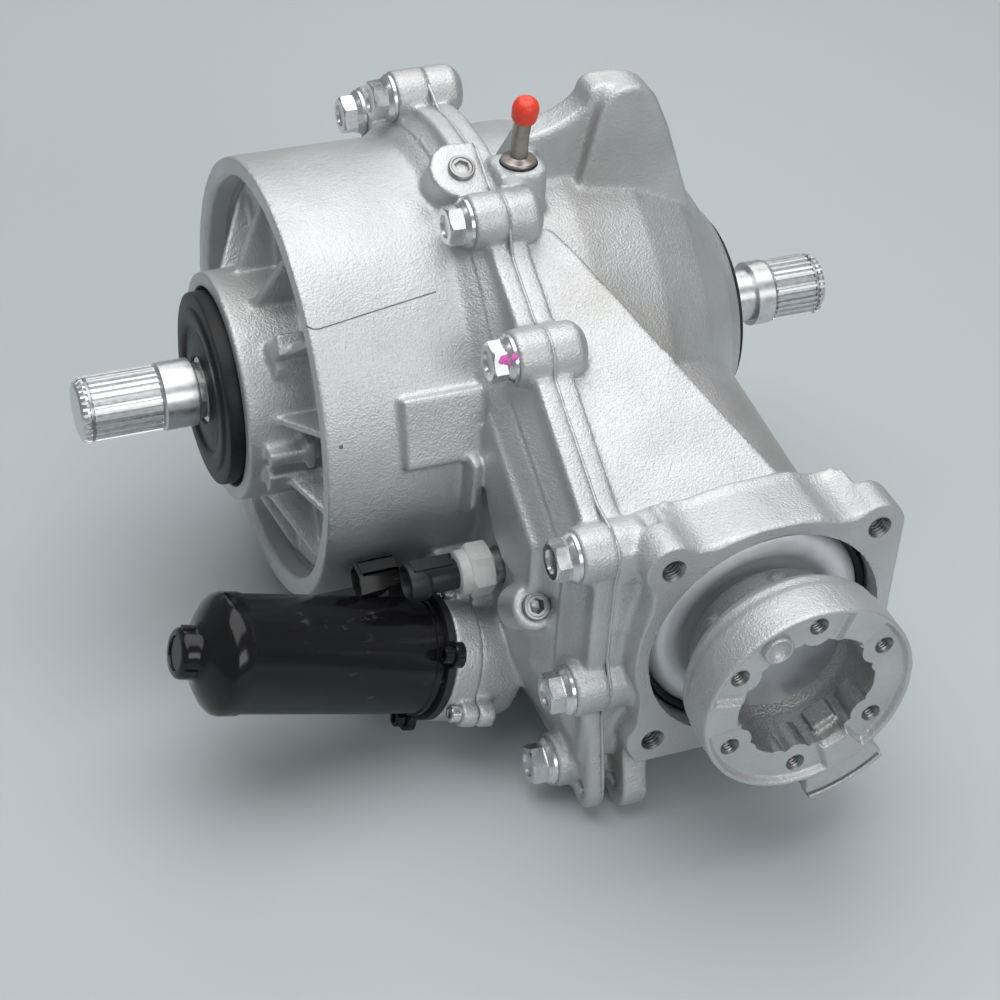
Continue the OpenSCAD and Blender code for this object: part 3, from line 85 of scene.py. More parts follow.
def make_camera():
    azimuth = math.radians(CAMERA_AZIMUTH)
    elevation = math.radians(CAMERA_ELEVATION)
    roll = math.radians(CAMERA_ROLL)
    level = math.cos(elevation)
    back = Vector((math.sin(azimuth) * level, -math.cos(azimuth) * level, math.sin(elevation)))
    flat_right = (-back).cross(Vector((0, 0, 1))).normalized()
    flat_up = flat_right.cross(-back)
    right = flat_right * math.cos(roll) + flat_up * math.sin(roll)
    up = flat_up * math.cos(roll) - flat_right * math.sin(roll)
    data = bpy.data.cameras.new("camera")
    data.lens = CAMERA_LENS
    data.sensor_width = CAMERA_SENSOR
    data.clip_start = 0.05
    data.clip_end = 20
    camera = link_object("camera", data)
    turn = Matrix((right, up, back)).transposed()
    camera.matrix_world = Matrix.Translation(CAMERA_PLACE) @ turn.to_4x4()
    bpy.context.scene.camera = camera


make_camera()


# Materials
CAST_RELIEF = 0.0008
CLOUD_RELIEF = 0.001
FINE_RELIEF = 0.0002
# A stain is this much darker than the casting's dark tone, and a little warmer
STAIN_TINT = (0.90, 0.875, 0.845)


class Paint:
    """Builds one node material. Coordinates are those of the piece, in metres."""

    def __init__(self, name, color, metallic, rough):
        self.material = bpy.data.materials.new(name)
        self.material.use_nodes = True
        self.tree = self.material.node_tree
        self.shader = self.tree.nodes["Principled BSDF"]
        self.shader.inputs["Base Color"].default_value = (*color, 1)
        self.shader.inputs["Metallic"].default_value = metallic
        self.shader.inputs["Roughness"].default_value = rough
        self.coords = self.tree.nodes.new("ShaderNodeTexCoord")
        self.bump_out = None

    def link(self, out, into):
        self.tree.links.new(out, into)

    def noise(self, scale, detail, stretch=(1, 1, 1)):
        mapping = self.tree.nodes.new("ShaderNodeMapping")
        mapping.inputs["Scale"].default_value = stretch
        self.link(self.coords.outputs["Object"], mapping.inputs["Vector"])
        node = self.tree.nodes.new("ShaderNodeTexNoise")
        node.inputs["Scale"].default_value = scale
        node.inputs["Detail"].default_value = detail
        self.link(mapping.outputs["Vector"], node.inputs["Vector"])
        return node.outputs["Fac"]

    def remap(self, value, low, high, out_low, out_high):
        node = self.tree.nodes.new("ShaderNodeMapRange")
        node.inputs["From Min"].default_value = low
        node.inputs["From Max"].default_value = high
        node.inputs["To Min"].default_value = out_low
        node.inputs["To Max"].default_value = out_high
        self.link(value, node.inputs["Value"])
        return node.outputs["Result"]

    def mask(self, value, low, high):
        """Nothing below the low value, all above the high one."""
        return self.remap(value, low, high, 0, 1)

    def mix(self, factor, first, second):
        node = self.tree.nodes.new("ShaderNodeMix")
        node.data_type = "RGBA"
        self.link(factor, node.inputs[0])
        for value, socket in ((first, node.inputs[6]), (second, node.inputs[7])):
            if isinstance(value, tuple):
                socket.default_value = (*value, 1)
            else:
                self.link(value, socket)
        return node.outputs[2]

    def color(self, out):
        self.link(out, self.shader.inputs["Base Color"])

    def rough(self, out):
        self.link(out, self.shader.inputs["Roughness"])

    def bump(self, height, strength, distance):
        """Adds relief on top of what is there already."""
        node = self.tree.nodes.new("ShaderNodeBump")
        node.inputs["Strength"].default_value = strength
        node.inputs["Distance"].default_value = distance
        self.link(height, node.inputs["Height"])
        if self.bump_out:
            self.link(self.bump_out, node.inputs["Normal"])
        self.bump_out = node.outputs["Normal"]
        self.link(self.bump_out, self.shader.inputs["Normal"])


def cast_paint(name, light, dark, rough, grain):
    """Blasted casting: clouded tone, fine grain and a few duller stains."""
    paint = Paint(name, light, 0.85, rough)
    cloud = paint.mask(paint.noise(26, 5), 0.36, 0.66)
    stain = paint.mask(paint.noise(11, 6), 0.56, 0.72)
    fine = paint.noise(1400, 2)
    tone = paint.mix(cloud, dark, light)
    dull = tuple(c * f for c, f in zip(dark, STAIN_TINT))
    paint.color(paint.mix(stain, tone, dull))
    paint.rough(paint.remap(fine, 0.3, 0.7, rough - 0.07, rough + 0.09))
    paint.bump(paint.noise(900, 2), grain, CAST_RELIEF)
    paint.bump(paint.noise(300, 3), grain * 0.5, CAST_RELIEF)
    paint.bump(paint.noise(60, 2), grain * 0.4, CLOUD_RELIEF)
    return paint.material


def rough_paint(name, light, dark, rough):
    """Unworked casting with a coarse skin."""
    paint = Paint(name, light, 0.9, rough)
    skin = paint.noise(900, 3)
    paint.color(paint.mix(paint.mask(skin, 0.35, 0.65), dark, light))
    paint.rough(paint.remap(skin, 0.3, 0.7, rough - 0.12, rough + 0.1))
    paint.bump(skin, 0.6, CAST_RELIEF)
    return paint.material


def steel_paint(name, light, dark, rough, scale, strength=0.15, metallic=1.0):
    """Bare or plated steel with faint marks."""
    paint = Paint(name, light, metallic, rough)
    marks = paint.noise(scale, 4)
    paint.color(paint.mix(paint.mask(marks, 0.3, 0.7), dark, light))
    paint.rough(paint.remap(marks, 0.3, 0.7, rough - 0.06, rough + 0.08))
    paint.bump(marks, strength, FINE_RELIEF)
    return paint.material


def scuffed_paint(name, color, worn, rough):
    """Gloss paint with a few dull, paler scuffs."""
    paint = Paint(name, color, 0.0, rough)
    paint.shader.inputs["Specular IOR Level"].default_value = 0.35
    patches = paint.mask(paint.noise(34, 2), 0.60, 0.70)
    streaks = paint.mask(paint.noise(260, 5, (0.4, 1, 1)), 0.54, 0.66)
    both = paint.tree.nodes.new("ShaderNodeMath")
    both.operation = "MULTIPLY"
    paint.link(patches, both.inputs[0])
    paint.link(streaks, both.inputs[1])
    scuff = both.outputs["Value"]
    paint.color(paint.mix(scuff, color, worn))
    paint.rough(paint.remap(scuff, 0, 1, rough, 0.5))
    paint.bump(paint.noise(90, 3), 0.06, FINE_RELIEF)
    return paint.material


def plastic_paint(name, light, dark, rough, scale=700, strength=0.1, shine=0.5):
    """Plastic, rubber or flat paint, with a fine grain."""
    paint = Paint(name, light, 0.0, rough)
    paint.shader.inputs["Specular IOR Level"].default_value = shine
    marks = paint.noise(scale, 3)
    paint.color(paint.mix(paint.mask(marks, 0.35, 0.65), dark, light))
    paint.rough(paint.remap(marks, 0.3, 0.7, rough - 0.05, rough + 0.06))
    paint.bump(marks, strength, FINE_RELIEF)
    return paint.material


# Each name with its kind, its light and dark tone, its roughness, and what else its kind takes
PAINT_ROWS = (
    ("cast_aluminium", cast_paint, (0.64, 0.645, 0.65), (0.56, 0.565, 0.57), 0.5, 0.5),
    ("rough_casting", rough_paint, (0.56, 0.555, 0.55), (0.42, 0.415, 0.41), 0.42),
    ("thread", steel_paint, (0.34, 0.34, 0.34), (0.22, 0.22, 0.22), 0.4, 300, 0.05),
    ("zinc_bolt", steel_paint, (0.82, 0.83, 0.84), (0.72, 0.73, 0.75), 0.25, 160, 0.03),
    ("plug_steel", steel_paint, (0.42, 0.42, 0.42), (0.30, 0.30, 0.30), 0.4, 300),
    ("tube_steel", steel_paint, (0.46, 0.43, 0.40), (0.32, 0.29, 0.26), 0.38, 180),
    ("red_cap", plastic_paint, (0.90, 0.07, 0.03), (0.80, 0.05, 0.02), 0.35),
    ("black_rubber", plastic_paint, (0.016, 0.016, 0.018), (0.010, 0.010, 0.011), 0.42, 500, 0.15, 0.3),
    ("bearing_steel", steel_paint, (0.66, 0.67, 0.68), (0.55, 0.56, 0.57), 0.25, 500),
    ("gear_steel", steel_paint, (0.45, 0.45, 0.46), (0.34, 0.34, 0.35), 0.35, 400),
    ("case_iron", steel_paint, (0.26, 0.26, 0.27), (0.18, 0.18, 0.19), 0.55, 350, 0.3),
    ("shaft_steel", steel_paint, (0.78, 0.79, 0.80), (0.62, 0.63, 0.64), 0.34, 350),
    ("disc_steel", steel_paint, (0.56, 0.58, 0.61), (0.50, 0.52, 0.55), 0.42, 60, 0.02),
    ("friction", plastic_paint, (0.3, 0.2, 0.12), (0.2, 0.13, 0.08), 0.8, 900, 0.3),
    ("polished_steel", steel_paint, (0.88, 0.89, 0.92), (0.82, 0.83, 0.86), 0.42, 120, 0.03, 0.5),
    ("black_paint", scuffed_paint, (0.007, 0.007, 0.008), (0.09, 0.09, 0.095), 0.17),
    ("black_plastic", plastic_paint, (0.02, 0.02, 0.022), (0.012, 0.012, 0.013), 0.45, 800, 0.15),
    ("pink_mark", plastic_paint, (0.80, 0.16, 0.55), (0.62, 0.10, 0.42), 0.5),
    ("nut_white", plastic_paint, (0.60, 0.62, 0.60), (0.55, 0.57, 0.55), 0.42, 300, 0.05),
    ("rotor_steel", steel_paint, (0.45, 0.45, 0.46), (0.36, 0.36, 0.37), 0.4, 400),
)
PAINTS = {name: kind(name, *rest) for name, kind, *rest in PAINT_ROWS}

# Every CAD node takes the paint of its slot
for row in frame["record"]["subparts"]:
    node = NODES[row["node"]]
    node.data.materials.clear()
    node.data.materials.append(PAINTS[row["material_slot"]])


# Places along the axle
SPLIT_X = -75.0
SEAT_X = -92.0
DRUM_END_X = -179.5
DRUM_R = 116.0
DRUM_BORE_R = 106.0
HUB_END_X = -202.5
# Faces on the pinion's line, as distances ahead of the axle
FLANGE_F = 239.0
INPUT_F = 287.0
INPUT_R = 53.8
FRONT_BORE_R = 60.4
FRONT_HOLE = 53.5
# Motor: its line leans up to the left, and CAN_S is the can's start along it
MOTOR_TILT = math.radians(16)
GEAR_X = -112.9
MOTOR_Y = -142.98
MOTOR_Z = -89.5
CAN_S = 27.0
CAN_R = 29.5
CAN_LENGTH = 112.0
# Sensor, plugs and breather
SENSOR_AT = (-98.0, -141.0, -34.0)
FILL_AT = (-86.0, -34.0, 130.0)
FILL_LEAN = math.radians(28)
LEVEL_AT = (-99.0, -190.0, -21.0)
LEVEL_LEAN = math.radians(50)
BREATHER_AT = (-57.0, -37.0, 117.0)


def along(origin, direction, side=(0, 0, 1)):
    """Placement whose Z runs along a direction from an origin."""
    z = Vector(direction).normalized()
    x = (Vector(side) - Vector(side).dot(z) * z).normalized()
    turn = Matrix((x, z.cross(x), z)).transposed().to_4x4()
    turn.translation = origin
    return turn


def on_axle(x, way=-1):
    """Placement on the axle whose Z runs to the left, or to the right with way 1."""
    return along((x, 0, 0), (way, 0, 0))


def on_pinion(f):
    """Placement on the pinion's line whose Z runs forward."""
    return along((0, -f, -DROP), (0, -1, 0), (1, 0, 0))


def on_motor(s):
    ahead = Vector((-math.cos(MOTOR_TILT), 0, math.sin(MOTOR_TILT)))
    side = (math.sin(MOTOR_TILT), 0, math.cos(MOTOR_TILT))
    return along(Vector((GEAR_X, MOTOR_Y, MOTOR_Z)) + ahead * s, ahead, side)


def on_sensor(s):
    return along(Vector(SENSOR_AT) + Vector((-s, 0, 0)), (-1, 0, 0))


def leaning(at, lean):
    """Placement on a pad that leans forward from the vertical."""
    return along(at, (0, -math.sin(lean), math.cos(lean)), (1, 0, 0))


def moved(x, y):
    return Matrix.Translation((x, y, 0))


def spun(degrees):
    return Matrix.Rotation(math.radians(degrees), 4, "Z")


def angles(steps):
    return [2 * math.pi * i / steps for i in range(steps)]


def polar(r, degrees):
    return (r * math.cos(math.radians(degrees)), r * math.sin(math.radians(degrees)))


def circle(radius, z, steps):
    return [(radius * math.cos(a), radius * math.sin(a), z) for a in angles(steps)]


def arc_points(centre, radius, start, end, steps):
    """Points on an arc between two angles in degrees."""
    out = []
    for i in range(steps + 1):
        a = math.radians(start + (end - start) * i / steps)
        out.append((centre[0] + radius * math.cos(a), centre[1] + radius * math.sin(a)))
    return out


def sector(inner, outer, start, end):
    """Outline of a part of a ring, between two angles in degrees."""
    steps = 24
    return arc_points((0, 0), outer, start, end, steps) + arc_points((0, 0), inner, end, start, steps)


def box(x_low, x_high, y_low, y_high):
    """Outline of a rectangle."""
    return [(x_low, y_low), (x_high, y_low), (x_high, y_high), (x_low, y_high)]


class Form:
    """Closed shells, gathered as points in millimetres from the axle line and their faces."""

    def __init__(self):
        self.points = []
        self.faces = []

    def shell(self, points, faces, turn):
        start = len(self.points)
        self.points.extend(turn @ Vector(p) for p in points)
        self.faces.extend(tuple(start + i for i in f) for f in faces)

    def loft(self, rings, turn, cyclic=False):
        """Skins rings of equal count. Ends are capped unless the rings close on themselves."""
        count = len(rings[0])
        points = [p for ring in rings for p in ring]
        faces = []
        for i in range(len(rings) if cyclic else len(rings) - 1):
            low = i * count
            high = (i + 1) % len(rings) * count
            for j in range(count):
                k = (j + 1) % count
                faces.append((low + j, low + k, high + k, high + j))
        if not cyclic:
            faces.append(tuple(reversed(range(count))))
            faces.append(tuple((len(rings) - 1) * count + j for j in range(count)))
        self.shell(points, faces, turn)

    def lathe(self, profile, turn, steps, cyclic=False):
        """Turns a profile of radius and height round the placement's Z."""
        least = 0.01
        rings = [circle(max(r, least), z, steps) for r, z in profile]
        self.loft(rings, turn, cyclic)

    def prism(self, outline, low, high, turn, edge=0.0):
        """Raises a flat outline, with its edge rounded off at both ends."""
        middle = Vector((sum(p[0] for p in outline), sum(p[1] for p in outline))) / len(outline)
        rings = []
        for z, inset in ((low, edge), (low + edge, 0), (high - edge, 0), (high, edge)):
            ring = []
            for p in outline:
                toward = middle - Vector(p)
                q = Vector(p) + toward.normalized() * inset
                ring.append((q.x, q.y, z))
            rings.append(ring)
        self.loft(rings if edge else [rings[0], rings[3]], turn)

    def tube(self, path, radius, steps):
        """Sweeps a round section along a path."""
        points = [Vector(p) for p in path]
        rings = []
        side = None
        for i, p in enumerate(points):
            ahead = (points[min(i + 1, len(points) - 1)] - points[max(i - 1, 0)]).normalized()
            if side is None:
                side = ahead.orthogonal().normalized()
            side = (side - side.dot(ahead) * ahead).normalized()
            other = ahead.cross(side)
            rings.append([p + radius * (side * math.cos(a) + other * math.sin(a)) for a in angles(steps)])
        self.loft(rings, Matrix())

    def arrays(self):
        """Points in metres of the row frame, and triangles."""
        points = (np.array([tuple(p) for p in self.points]) + np.array(SHIFT)) * MM
        triangles = []
        for face in self.faces:
            corners = [Vector(self.points[i]) for i in face]
            triangles.extend(tuple(face[i] for i in t) for t in tessellate_polygon([corners]))
        return points, np.array(triangles)


def make_mesh(name, points, faces):
    mesh = bpy.data.meshes.new(name)
    mesh.from_pydata([tuple(p) for p in points], [], [tuple(f) for f in faces])
    mesh.update()
    return mesh


def add_piece(name, mesh, body, slot, *nodes, crease=None, paint=None):
    """Puts a piece on a body, with its slot's paint or another. It stands for the CAD nodes named."""
    piece = link_object(name, mesh)
    mesh.materials.clear()
    mesh.materials.append(PAINTS[paint or slot])
    mesh.polygons.foreach_set("use_smooth", [True] * len(mesh.polygons))
    if crease:
        mesh.set_sharp_from_angle(angle=math.radians(crease))
    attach(piece, body)
    if nodes:
        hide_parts(*nodes)


def add_form(name, form, body, slot, *nodes, crease=35, paint=None):
    mesh = make_mesh(name, [(p + Vector(SHIFT)) * MM for p in form.points], form.faces)
    add_piece(name, mesh, body, slot, *nodes, crease=crease, paint=paint)


# Castings: a copy of the CAD node and added forms, fused on a grid, then eased round the machined faces
# A point this near to a machined face is held on it
NEAR = 0.7
# A hole is opened from here out to this far past its radius
OPENED_FROM = 0.5
OPENED_PAST = 0.6


def node_arrays(name):
    """Points of a CAD node in metres, welded, and its triangles."""
    mesh = NODES[name].data
    mesh.calc_loop_triangles()
    points = np.empty(len(mesh.vertices) * 3)
    mesh.vertices.foreach_get("co", points)
    triangles = np.empty(len(mesh.loop_triangles) * 3, dtype=np.int64)
    mesh.loop_triangles.foreach_get("vertices", triangles)
    points = points.reshape(-1, 3)
    welded, where = np.unique(np.round(points, 6), axis=0, return_inverse=True)
    triangles = where.reshape(-1)[triangles].reshape(-1, 3)
    a, b, c = triangles.T
    return welded, triangles[(a != b) & (b != c) & (a != c)]


def joined(*parts):
    points = []
    triangles = []
    start = 0
    for part_points, part_triangles in parts:
        points.append(part_points)
        triangles.append(part_triangles + start)
        start += len(part_points)
    return np.vstack(points), np.vstack(triangles)


def fused(points, triangles, cell):
    """One skin round overlapping shells, on a grid of cells."""
    piece = link_object("scratch", make_mesh("scratch", points, triangles))
    remesh = piece.modifiers.new("fuse", "REMESH")
    remesh.mode = "VOXEL"
    remesh.voxel_size = cell
    graph = bpy.context.evaluated_depsgraph_get()
    mesh = bpy.data.meshes.new_from_object(piece.evaluated_get(graph))
    bpy.data.objects.remove(piece)
    return mesh


class Flat:
    """Holds points on a machined plane, square to one axis."""

    def __init__(self, axis, value):
        self.axis = axis
        self.value = value

    def find(self, points):
        return np.abs(points[:, self.axis] - self.value) < NEAR

    def hold(self, points, hit):
        points[hit, self.axis] = self.value


class Round:
    """Holds points on a turned wall, round a line along one axis."""

    def __init__(self, axis, centre, radius, low, high):
        self.axis = axis
        self.others = [i for i in range(3) if i != axis]
        self.centre = np.array(centre)[self.others]
        self.radius = radius
        self.low = low
        self.high = high

    def reach(self, points):
        return np.linalg.norm(points[:, self.others] - self.centre, axis=1)

    def between(self, points):
        level = points[:, self.axis]
        return (level > self.low) & (level < self.high)

    def find(self, points):
        return (np.abs(self.reach(points) - self.radius) < NEAR) & self.between(points)

    def hold(self, points, hit):
        flat = points[np.ix_(hit, self.others)] - self.centre
        flat *= self.radius / np.linalg.norm(flat, axis=1, keepdims=True)
        points[np.ix_(hit, self.others)] = flat + self.centre


class Opened(Round):
    """Pushes points near a hole's axis out to its radius, so that its threads show."""

    def find(self, points):
        reach = self.reach(points)
        return (reach > OPENED_FROM) & (reach < self.radius + OPENED_PAST) & self.between(points)


def ease(mesh, rounds, keepers):
    """Rounds the edges of a fused mesh, and holds its machined faces."""
    count = len(mesh.vertices)
    points = np.empty(count * 3)
    mesh.vertices.foreach_get("co", points)
    shift = np.array(SHIFT)
    points = points.reshape(-1, 3) / MM - shift
    edges = np.empty(len(mesh.edges) * 2, dtype=np.int64)
    mesh.edges.foreach_get("vertices", edges)
    a, b = edges.reshape(-1, 2).T
    near = np.bincount(edges, minlength=count)[:, None]
    hits = [keeper.find(points) for keeper in keepers]
    for _ in range(rounds):
        total = np.empty_like(points)
        for k in range(3):
            total[:, k] = np.bincount(a, weights=points[b, k], minlength=count)
            total[:, k] += np.bincount(b, weights=points[a, k], minlength=count)
        points = (points + total / near) / 2
        for keeper, hit in zip(keepers, hits):
            keeper.hold(points, hit)
    mesh.vertices.foreach_set("co", ((points + shift) * MM).ravel())
    mesh.update()
    return points


def add_casting(name, node, added, cell, rounds, keepers):
    """Adds a casting made from its CAD node and added forms. Gives back its points."""
    parts = [node_arrays(node)]
    if added:
        parts.append(added.arrays())
    mesh = fused(*joined(*parts), cell * MM)
    points = ease(mesh, rounds, keepers)
    add_piece(name, mesh, "housing", "cast_aluminium", node)
    return points


def main_housing_forms():
    form = Form()
    # block that carries the breather
    block = arc_points((5, 4), 8, 0, 90, 5) + arc_points((-6, 4), 8, 90, 180, 5)
    block += [(-14, -11)] + arc_points((5, -5), 8, -90, 0, 5)
    form.prism(block, -10, 13.9, Matrix.Translation(BREATHER_AT), 0.6)
    # wavy body behind the front flange, with a ridge along its back edge
    face = on_pinion(FLANGE_F)
    body_r = 61.6
    wave = [(-50.5, 65.6), (-45, 64.2), (-38, 62.4), (-31, 62.8), (-24, 64.6), (-12, 66.6), (0, 67.2),
            (12, 67.2), (22, 66.4), (31, 63.0), (38, 62.4), (45, 64.2), (50.5, 65.6)]
    inside = arc_points((0, 0), body_r, 45, 135, 12)
    form.prism(wave + inside, -36, -0.1, face)
    ridge = 1.6
    form.prism([(x, y + ridge) for x, y in wave[1:-1]] + inside, -37.5, -33, face, 0.5)
    # fillings between that body and the joint's lugs
    form.prism([(-72, 40), (-40, 40), (-40, 62), (-52, 63.4), (-72, 57)], -38, -12, face, 1)
    form.prism([(-74, 8), (-62, 8), (-58, 46), (-74, 46)], -36, -14, face, 1)
    # the same waves on the flange's left side
    side_wave = [(-67.2, 0), (-66.4, 12), (-64.4, 24), (-62.6, 31), (-62.4, 38), (-64.2, 45), (-65.6, 50.5)]
    form.prism(side_wave + arc_points((0, 0), body_r, 135, 180, 12), -21, -0.1, face)
    # web from the barrel up to the top ear
    web = [(-60, 120), (-50, 137), (-37, 140.6), (-30, 143.6), (-23, 147.8), (-18.6, 152.2), (-17.6, 157),
           (-15, 160), (-10, 161.5), (2, 161.5), (9, 157), (21, 141), (22, 131), (37, 105), (40, 70),
           (-55, 70)]
    form.prism(web, 10, 28, along((0, 0, 0), (0, -1, 0), (1, 0, 0)), 1.5)
    return form


def left_casing_forms():
    form = Form()
    # flat seat of the fill plug, drawn out to the joint
    seat = arc_points((0, 0), 14, 90, 270, 12) + [(10.8, -14), (10.8, 15)]
    form.prism(seat, -14, -0.15, leaning(FILL_AT, FILL_LEAN), 0.6)
    # arm from the pad to the sensor's boss, and the thin rib beside it
    arm = [(-112, 18), (-121, 47), (-186, 12), (-188, -18), (-152, -22), (-138, -15), (-130, -6), (-124, 5)]
    form.prism([(-z, -y) for y, z in arm], 0, 4, along((-98, 0, 0), (-1, 0, 0), (0, 0, -1)), 0.5)
    rib = [(-111, -24), (-128, -20), (-126, 8), (-119, 16), (-110, 16)]
    form.prism(rib, 0, 4.5, along((-105, 0, 0), (-1, 0, 0), (0, 1, 0)), 0.3)
    # ring round the level plug
    form.lathe([(7.2, -6), (11.4, -6), (11.4, 0.2), (10.6, 0.8), (8.2, 0.8), (7.2, 0.2)],
               leaning(LEVEL_AT, LEVEL_LEAN), 40, cyclic=True)
    return form


def end_cover_forms():
    form = Form()
    # small boss against the hub
    boss_at = (-170, -42.5, 46.5)
    form.lathe([(0, 0), (5.6, 0), (5.6, 17), (4.8, 18), (0, 18)], along(boss_at, (-1, 0, 0)), 28)
    form.prism(box(-5.6, 5.6, -14, 0), 0, 16, along(boss_at, (-1, 0, 0), (0, 0.74, 0.67)), 0.5)
    # rod against the hub, and the lug behind it
    rod_y = -60.5
    rod_z = -1
    form.tube([(-195, rod_y, rod_z), (-176, rod_y, rod_z)], 4.2, 20)
    form.prism(box(-3.6, 3.6, -9, 0), 0, 19, along((-176, rod_y, rod_z), (-1, 0, 0)), 0.3)
    form.prism(box(-8, 8, -10, 3), 0, 5, along((-171, rod_y, rod_z), (-1, 0, 0)), 0.5)
    return form


MAIN_KEEPERS = [
    Flat(1, -FLANGE_F),
    Flat(0, SPLIT_X),
    Round(1, (0, 0, -DROP), FRONT_BORE_R, -FLANGE_F - 1, -FLANGE_F + 21),
]
FRONT_HOLES = [(x, -DROP + z) for x in (-FRONT_HOLE, FRONT_HOLE) for z in (-FRONT_HOLE, FRONT_HOLE)]
for hole_x, hole_z in FRONT_HOLES:
    MAIN_KEEPERS.append(Opened(1, (hole_x, 0, hole_z), 5.9, -FLANGE_F - 1, -FLANGE_F + 15))
LEFT_KEEPERS = [
    Flat(0, SPLIT_X),
    Flat(0, DRUM_END_X),
    Flat(0, SEAT_X),
    Round(0, (0, 0, 0), DRUM_BORE_R, DRUM_END_X - 1, DRUM_END_X + 20),
]

CASING_CELL = 1.3
COVER_CELL = 1.2
ADAPTER_CELL = 1.0
INPUT_CELL = 0.8
add_casting("main_housing_cast", "main_housing", main_housing_forms(), CASING_CELL, 7, MAIN_KEEPERS)
left_forms = left_casing_forms()
left_points = add_casting("left_casing_cast", "left_casing", left_forms, CASING_CELL, 7, LEFT_KEEPERS)
add_casting("end_cover_cast", "end_cover", end_cover_forms(), COVER_CELL, 5, [Flat(0, HUB_END_X)])
add_casting("adapter_cast", "adapter_block", None, ADAPTER_CELL, 6, [])


def joint_bead():
    """Thin line of sealant along the joint of the two casings."""
    near = left_points[np.abs(left_points[:, 0] - SPLIT_X) < 1.0]
    # middle of the joint's outline, as Y and Z
    centre = np.array((-75.0, 0.0))
    flat = near[:, 1:3] - centre
    turn = np.arctan2(flat[:, 1], flat[:, 0])
    reach = np.linalg.norm(flat, axis=1)
    steps = 720
    slot = ((turn + math.pi) / (2 * math.pi) * steps).astype(int) % steps
    far = np.zeros(steps)
    np.maximum.at(far, slot, reach)
    for i in range(steps):
        if far[i] == 0:
            far[i] = far[i - 1]
    wide = np.concatenate((far[-4:], far, far[:4]))
    far = np.convolve(wide, np.ones(9) / 9, mode="valid")
    path = []
    for i in range(steps):
        a = -math.pi + (i + 0.5) * 2 * math.pi / steps
        r = far[i] - 0.1
        path.append((SPLIT_X + 0.2, centre[0] + r * math.cos(a), centre[1] + r * math.sin(a)))
    form = Form()
    form.tube(path + path[:1], 0.9, 8)
    add_form("joint_bead", form, "housing", "cast_aluminium", crease=60)


joint_bead()


# Fasteners
HEX_STEPS = 36


def hexagon(across, z, lift=None):
    """Ring of points on a hexagon. Lift gives each point's height from its reach."""
    out = []
    for a in angles(HEX_STEPS):
        r = across / 2 / math.cos((a + math.pi / 6) % (math.pi / 3) - math.pi / 6)
        out.append((r * math.cos(a), r * math.sin(a), lift(r) if lift else z))
    return out


def hex_circle(radius, z):
    """Ring that can be skinned to a hexagon's."""
    return circle(radius, z, HEX_STEPS)


def hex_bolt(form, turn, washer, across, head, shank):
    """Flanged bolt with a dished hexagon head."""
    form.lathe([(0, -6), (shank, -6), (shank, 0), (washer - 0.5, 0), (washer, 0.4), (washer, 2.0),
                (washer - 0.5, 2.5), (across * 0.66, 2.7), (across * 0.58, 4.6), (0, 4.6)], turn, 48)
    crown = across / 2 * 0.96
    dish = across / 2 * 0.66
    form.loft([
        hexagon(across, 2.8),
        hexagon(across, 0, lift=lambda r: head - 0.2 - max(0, r - crown) * 0.6),
        hex_circle(crown, head),
        hex_circle(dish, head),
        hex_circle(dish * 0.86, head - 1.3),
        hex_circle(dish * 0.3, head - 1.7),
    ], turn)


def socket_head(form, turn, radius, head, shank, across):
    """Round head with a hexagon socket."""
    form.loft([
        hex_circle(shank, -3), hex_circle(shank, 0), hex_circle(radius, 0),
        hex_circle(radius, head - 0.5), hex_circle(radius - 0.5, head), hexagon(across + 0.5, head),
        hexagon(across, head - 0.4), hexagon(across, head * 0.35), hex_circle(0.3, head * 0.25),
    ], turn)


def islands(name):
    """Lowest and highest corner of each loose part of a node, in millimetres from the axle."""
    points, triangles = node_arrays(name)
    label = np.arange(len(points))
    while True:
        low = label[triangles].min(axis=1)
        fresh = label.copy()
        for k in range(3):
            np.minimum.at(fresh, triangles[:, k], low)
        fresh = fresh[fresh]
        if (fresh == label).all():
            break
        label = fresh
    points = points / MM - np.array(SHIFT)
    return [(points[label == i].min(axis=0), points[label == i].max(axis=0)) for i in np.unique(label)]


# The joint's bolts have wide washers, and any narrower loose part is passed over
LEAST_WASHER = 20
bolt_form = Form()
for low, high in islands("housing_bolts"):
    centre = (low + high) / 2
    if high[1] - low[1] < LEAST_WASHER:
        continue
    # each head is turned its own way
    side = (0, math.cos(centre[1]), math.sin(centre[1]))
    bolt_place = along((SEAT_X, centre[1], centre[2]), (-1, 0, 0), side)
    hex_bolt(bolt_form, bolt_place, washer=12.5, across=18.0, head=12.0, shank=5.9)
add_form("housing_bolts_detail", bolt_form, "housing", "zinc_bolt", "housing_bolts", crease=28)


def thread_tube(form, turn, radius, pitch, depth, proud=0.1):
    """Lining of a threaded hole. Its mouth lies at the placement's origin."""
    steps = 28
    per_turn = 6
    lead_in = 1.0
    ridge = 0.95
    outer = radius + 0.6
    rings = [circle(outer, proud, steps), circle(outer, -depth, steps)]
    levels = int(depth / pitch * per_turn)
    for i in range(levels, -1, -1):
        z = -lead_in - (depth - lead_in) * i / levels
        ring = []
        for a in angles(steps):
            phase = (z / pitch + a / 2 / math.pi) % 1.0
            r = radius - ridge * (1 - abs(2 * phase - 1))
            ring.append((r * math.cos(a), r * math.sin(a), z))
        rings.append(ring)
    rings.append(circle(radius + 0.5, proud, steps))
    form.loft(rings, turn, cyclic=True)


front_threads = Form()
for hole_x, hole_z in FRONT_HOLES:
    hole_place = along((hole_x, -FLANGE_F, hole_z), (0, -1, 0), (1, 0, 0))
    thread_tube(front_threads, hole_place, 5.6, pitch=2.0, depth=20)
add_form("front_threads", front_threads, "housing", "plug_steel", crease=30, paint="thread")


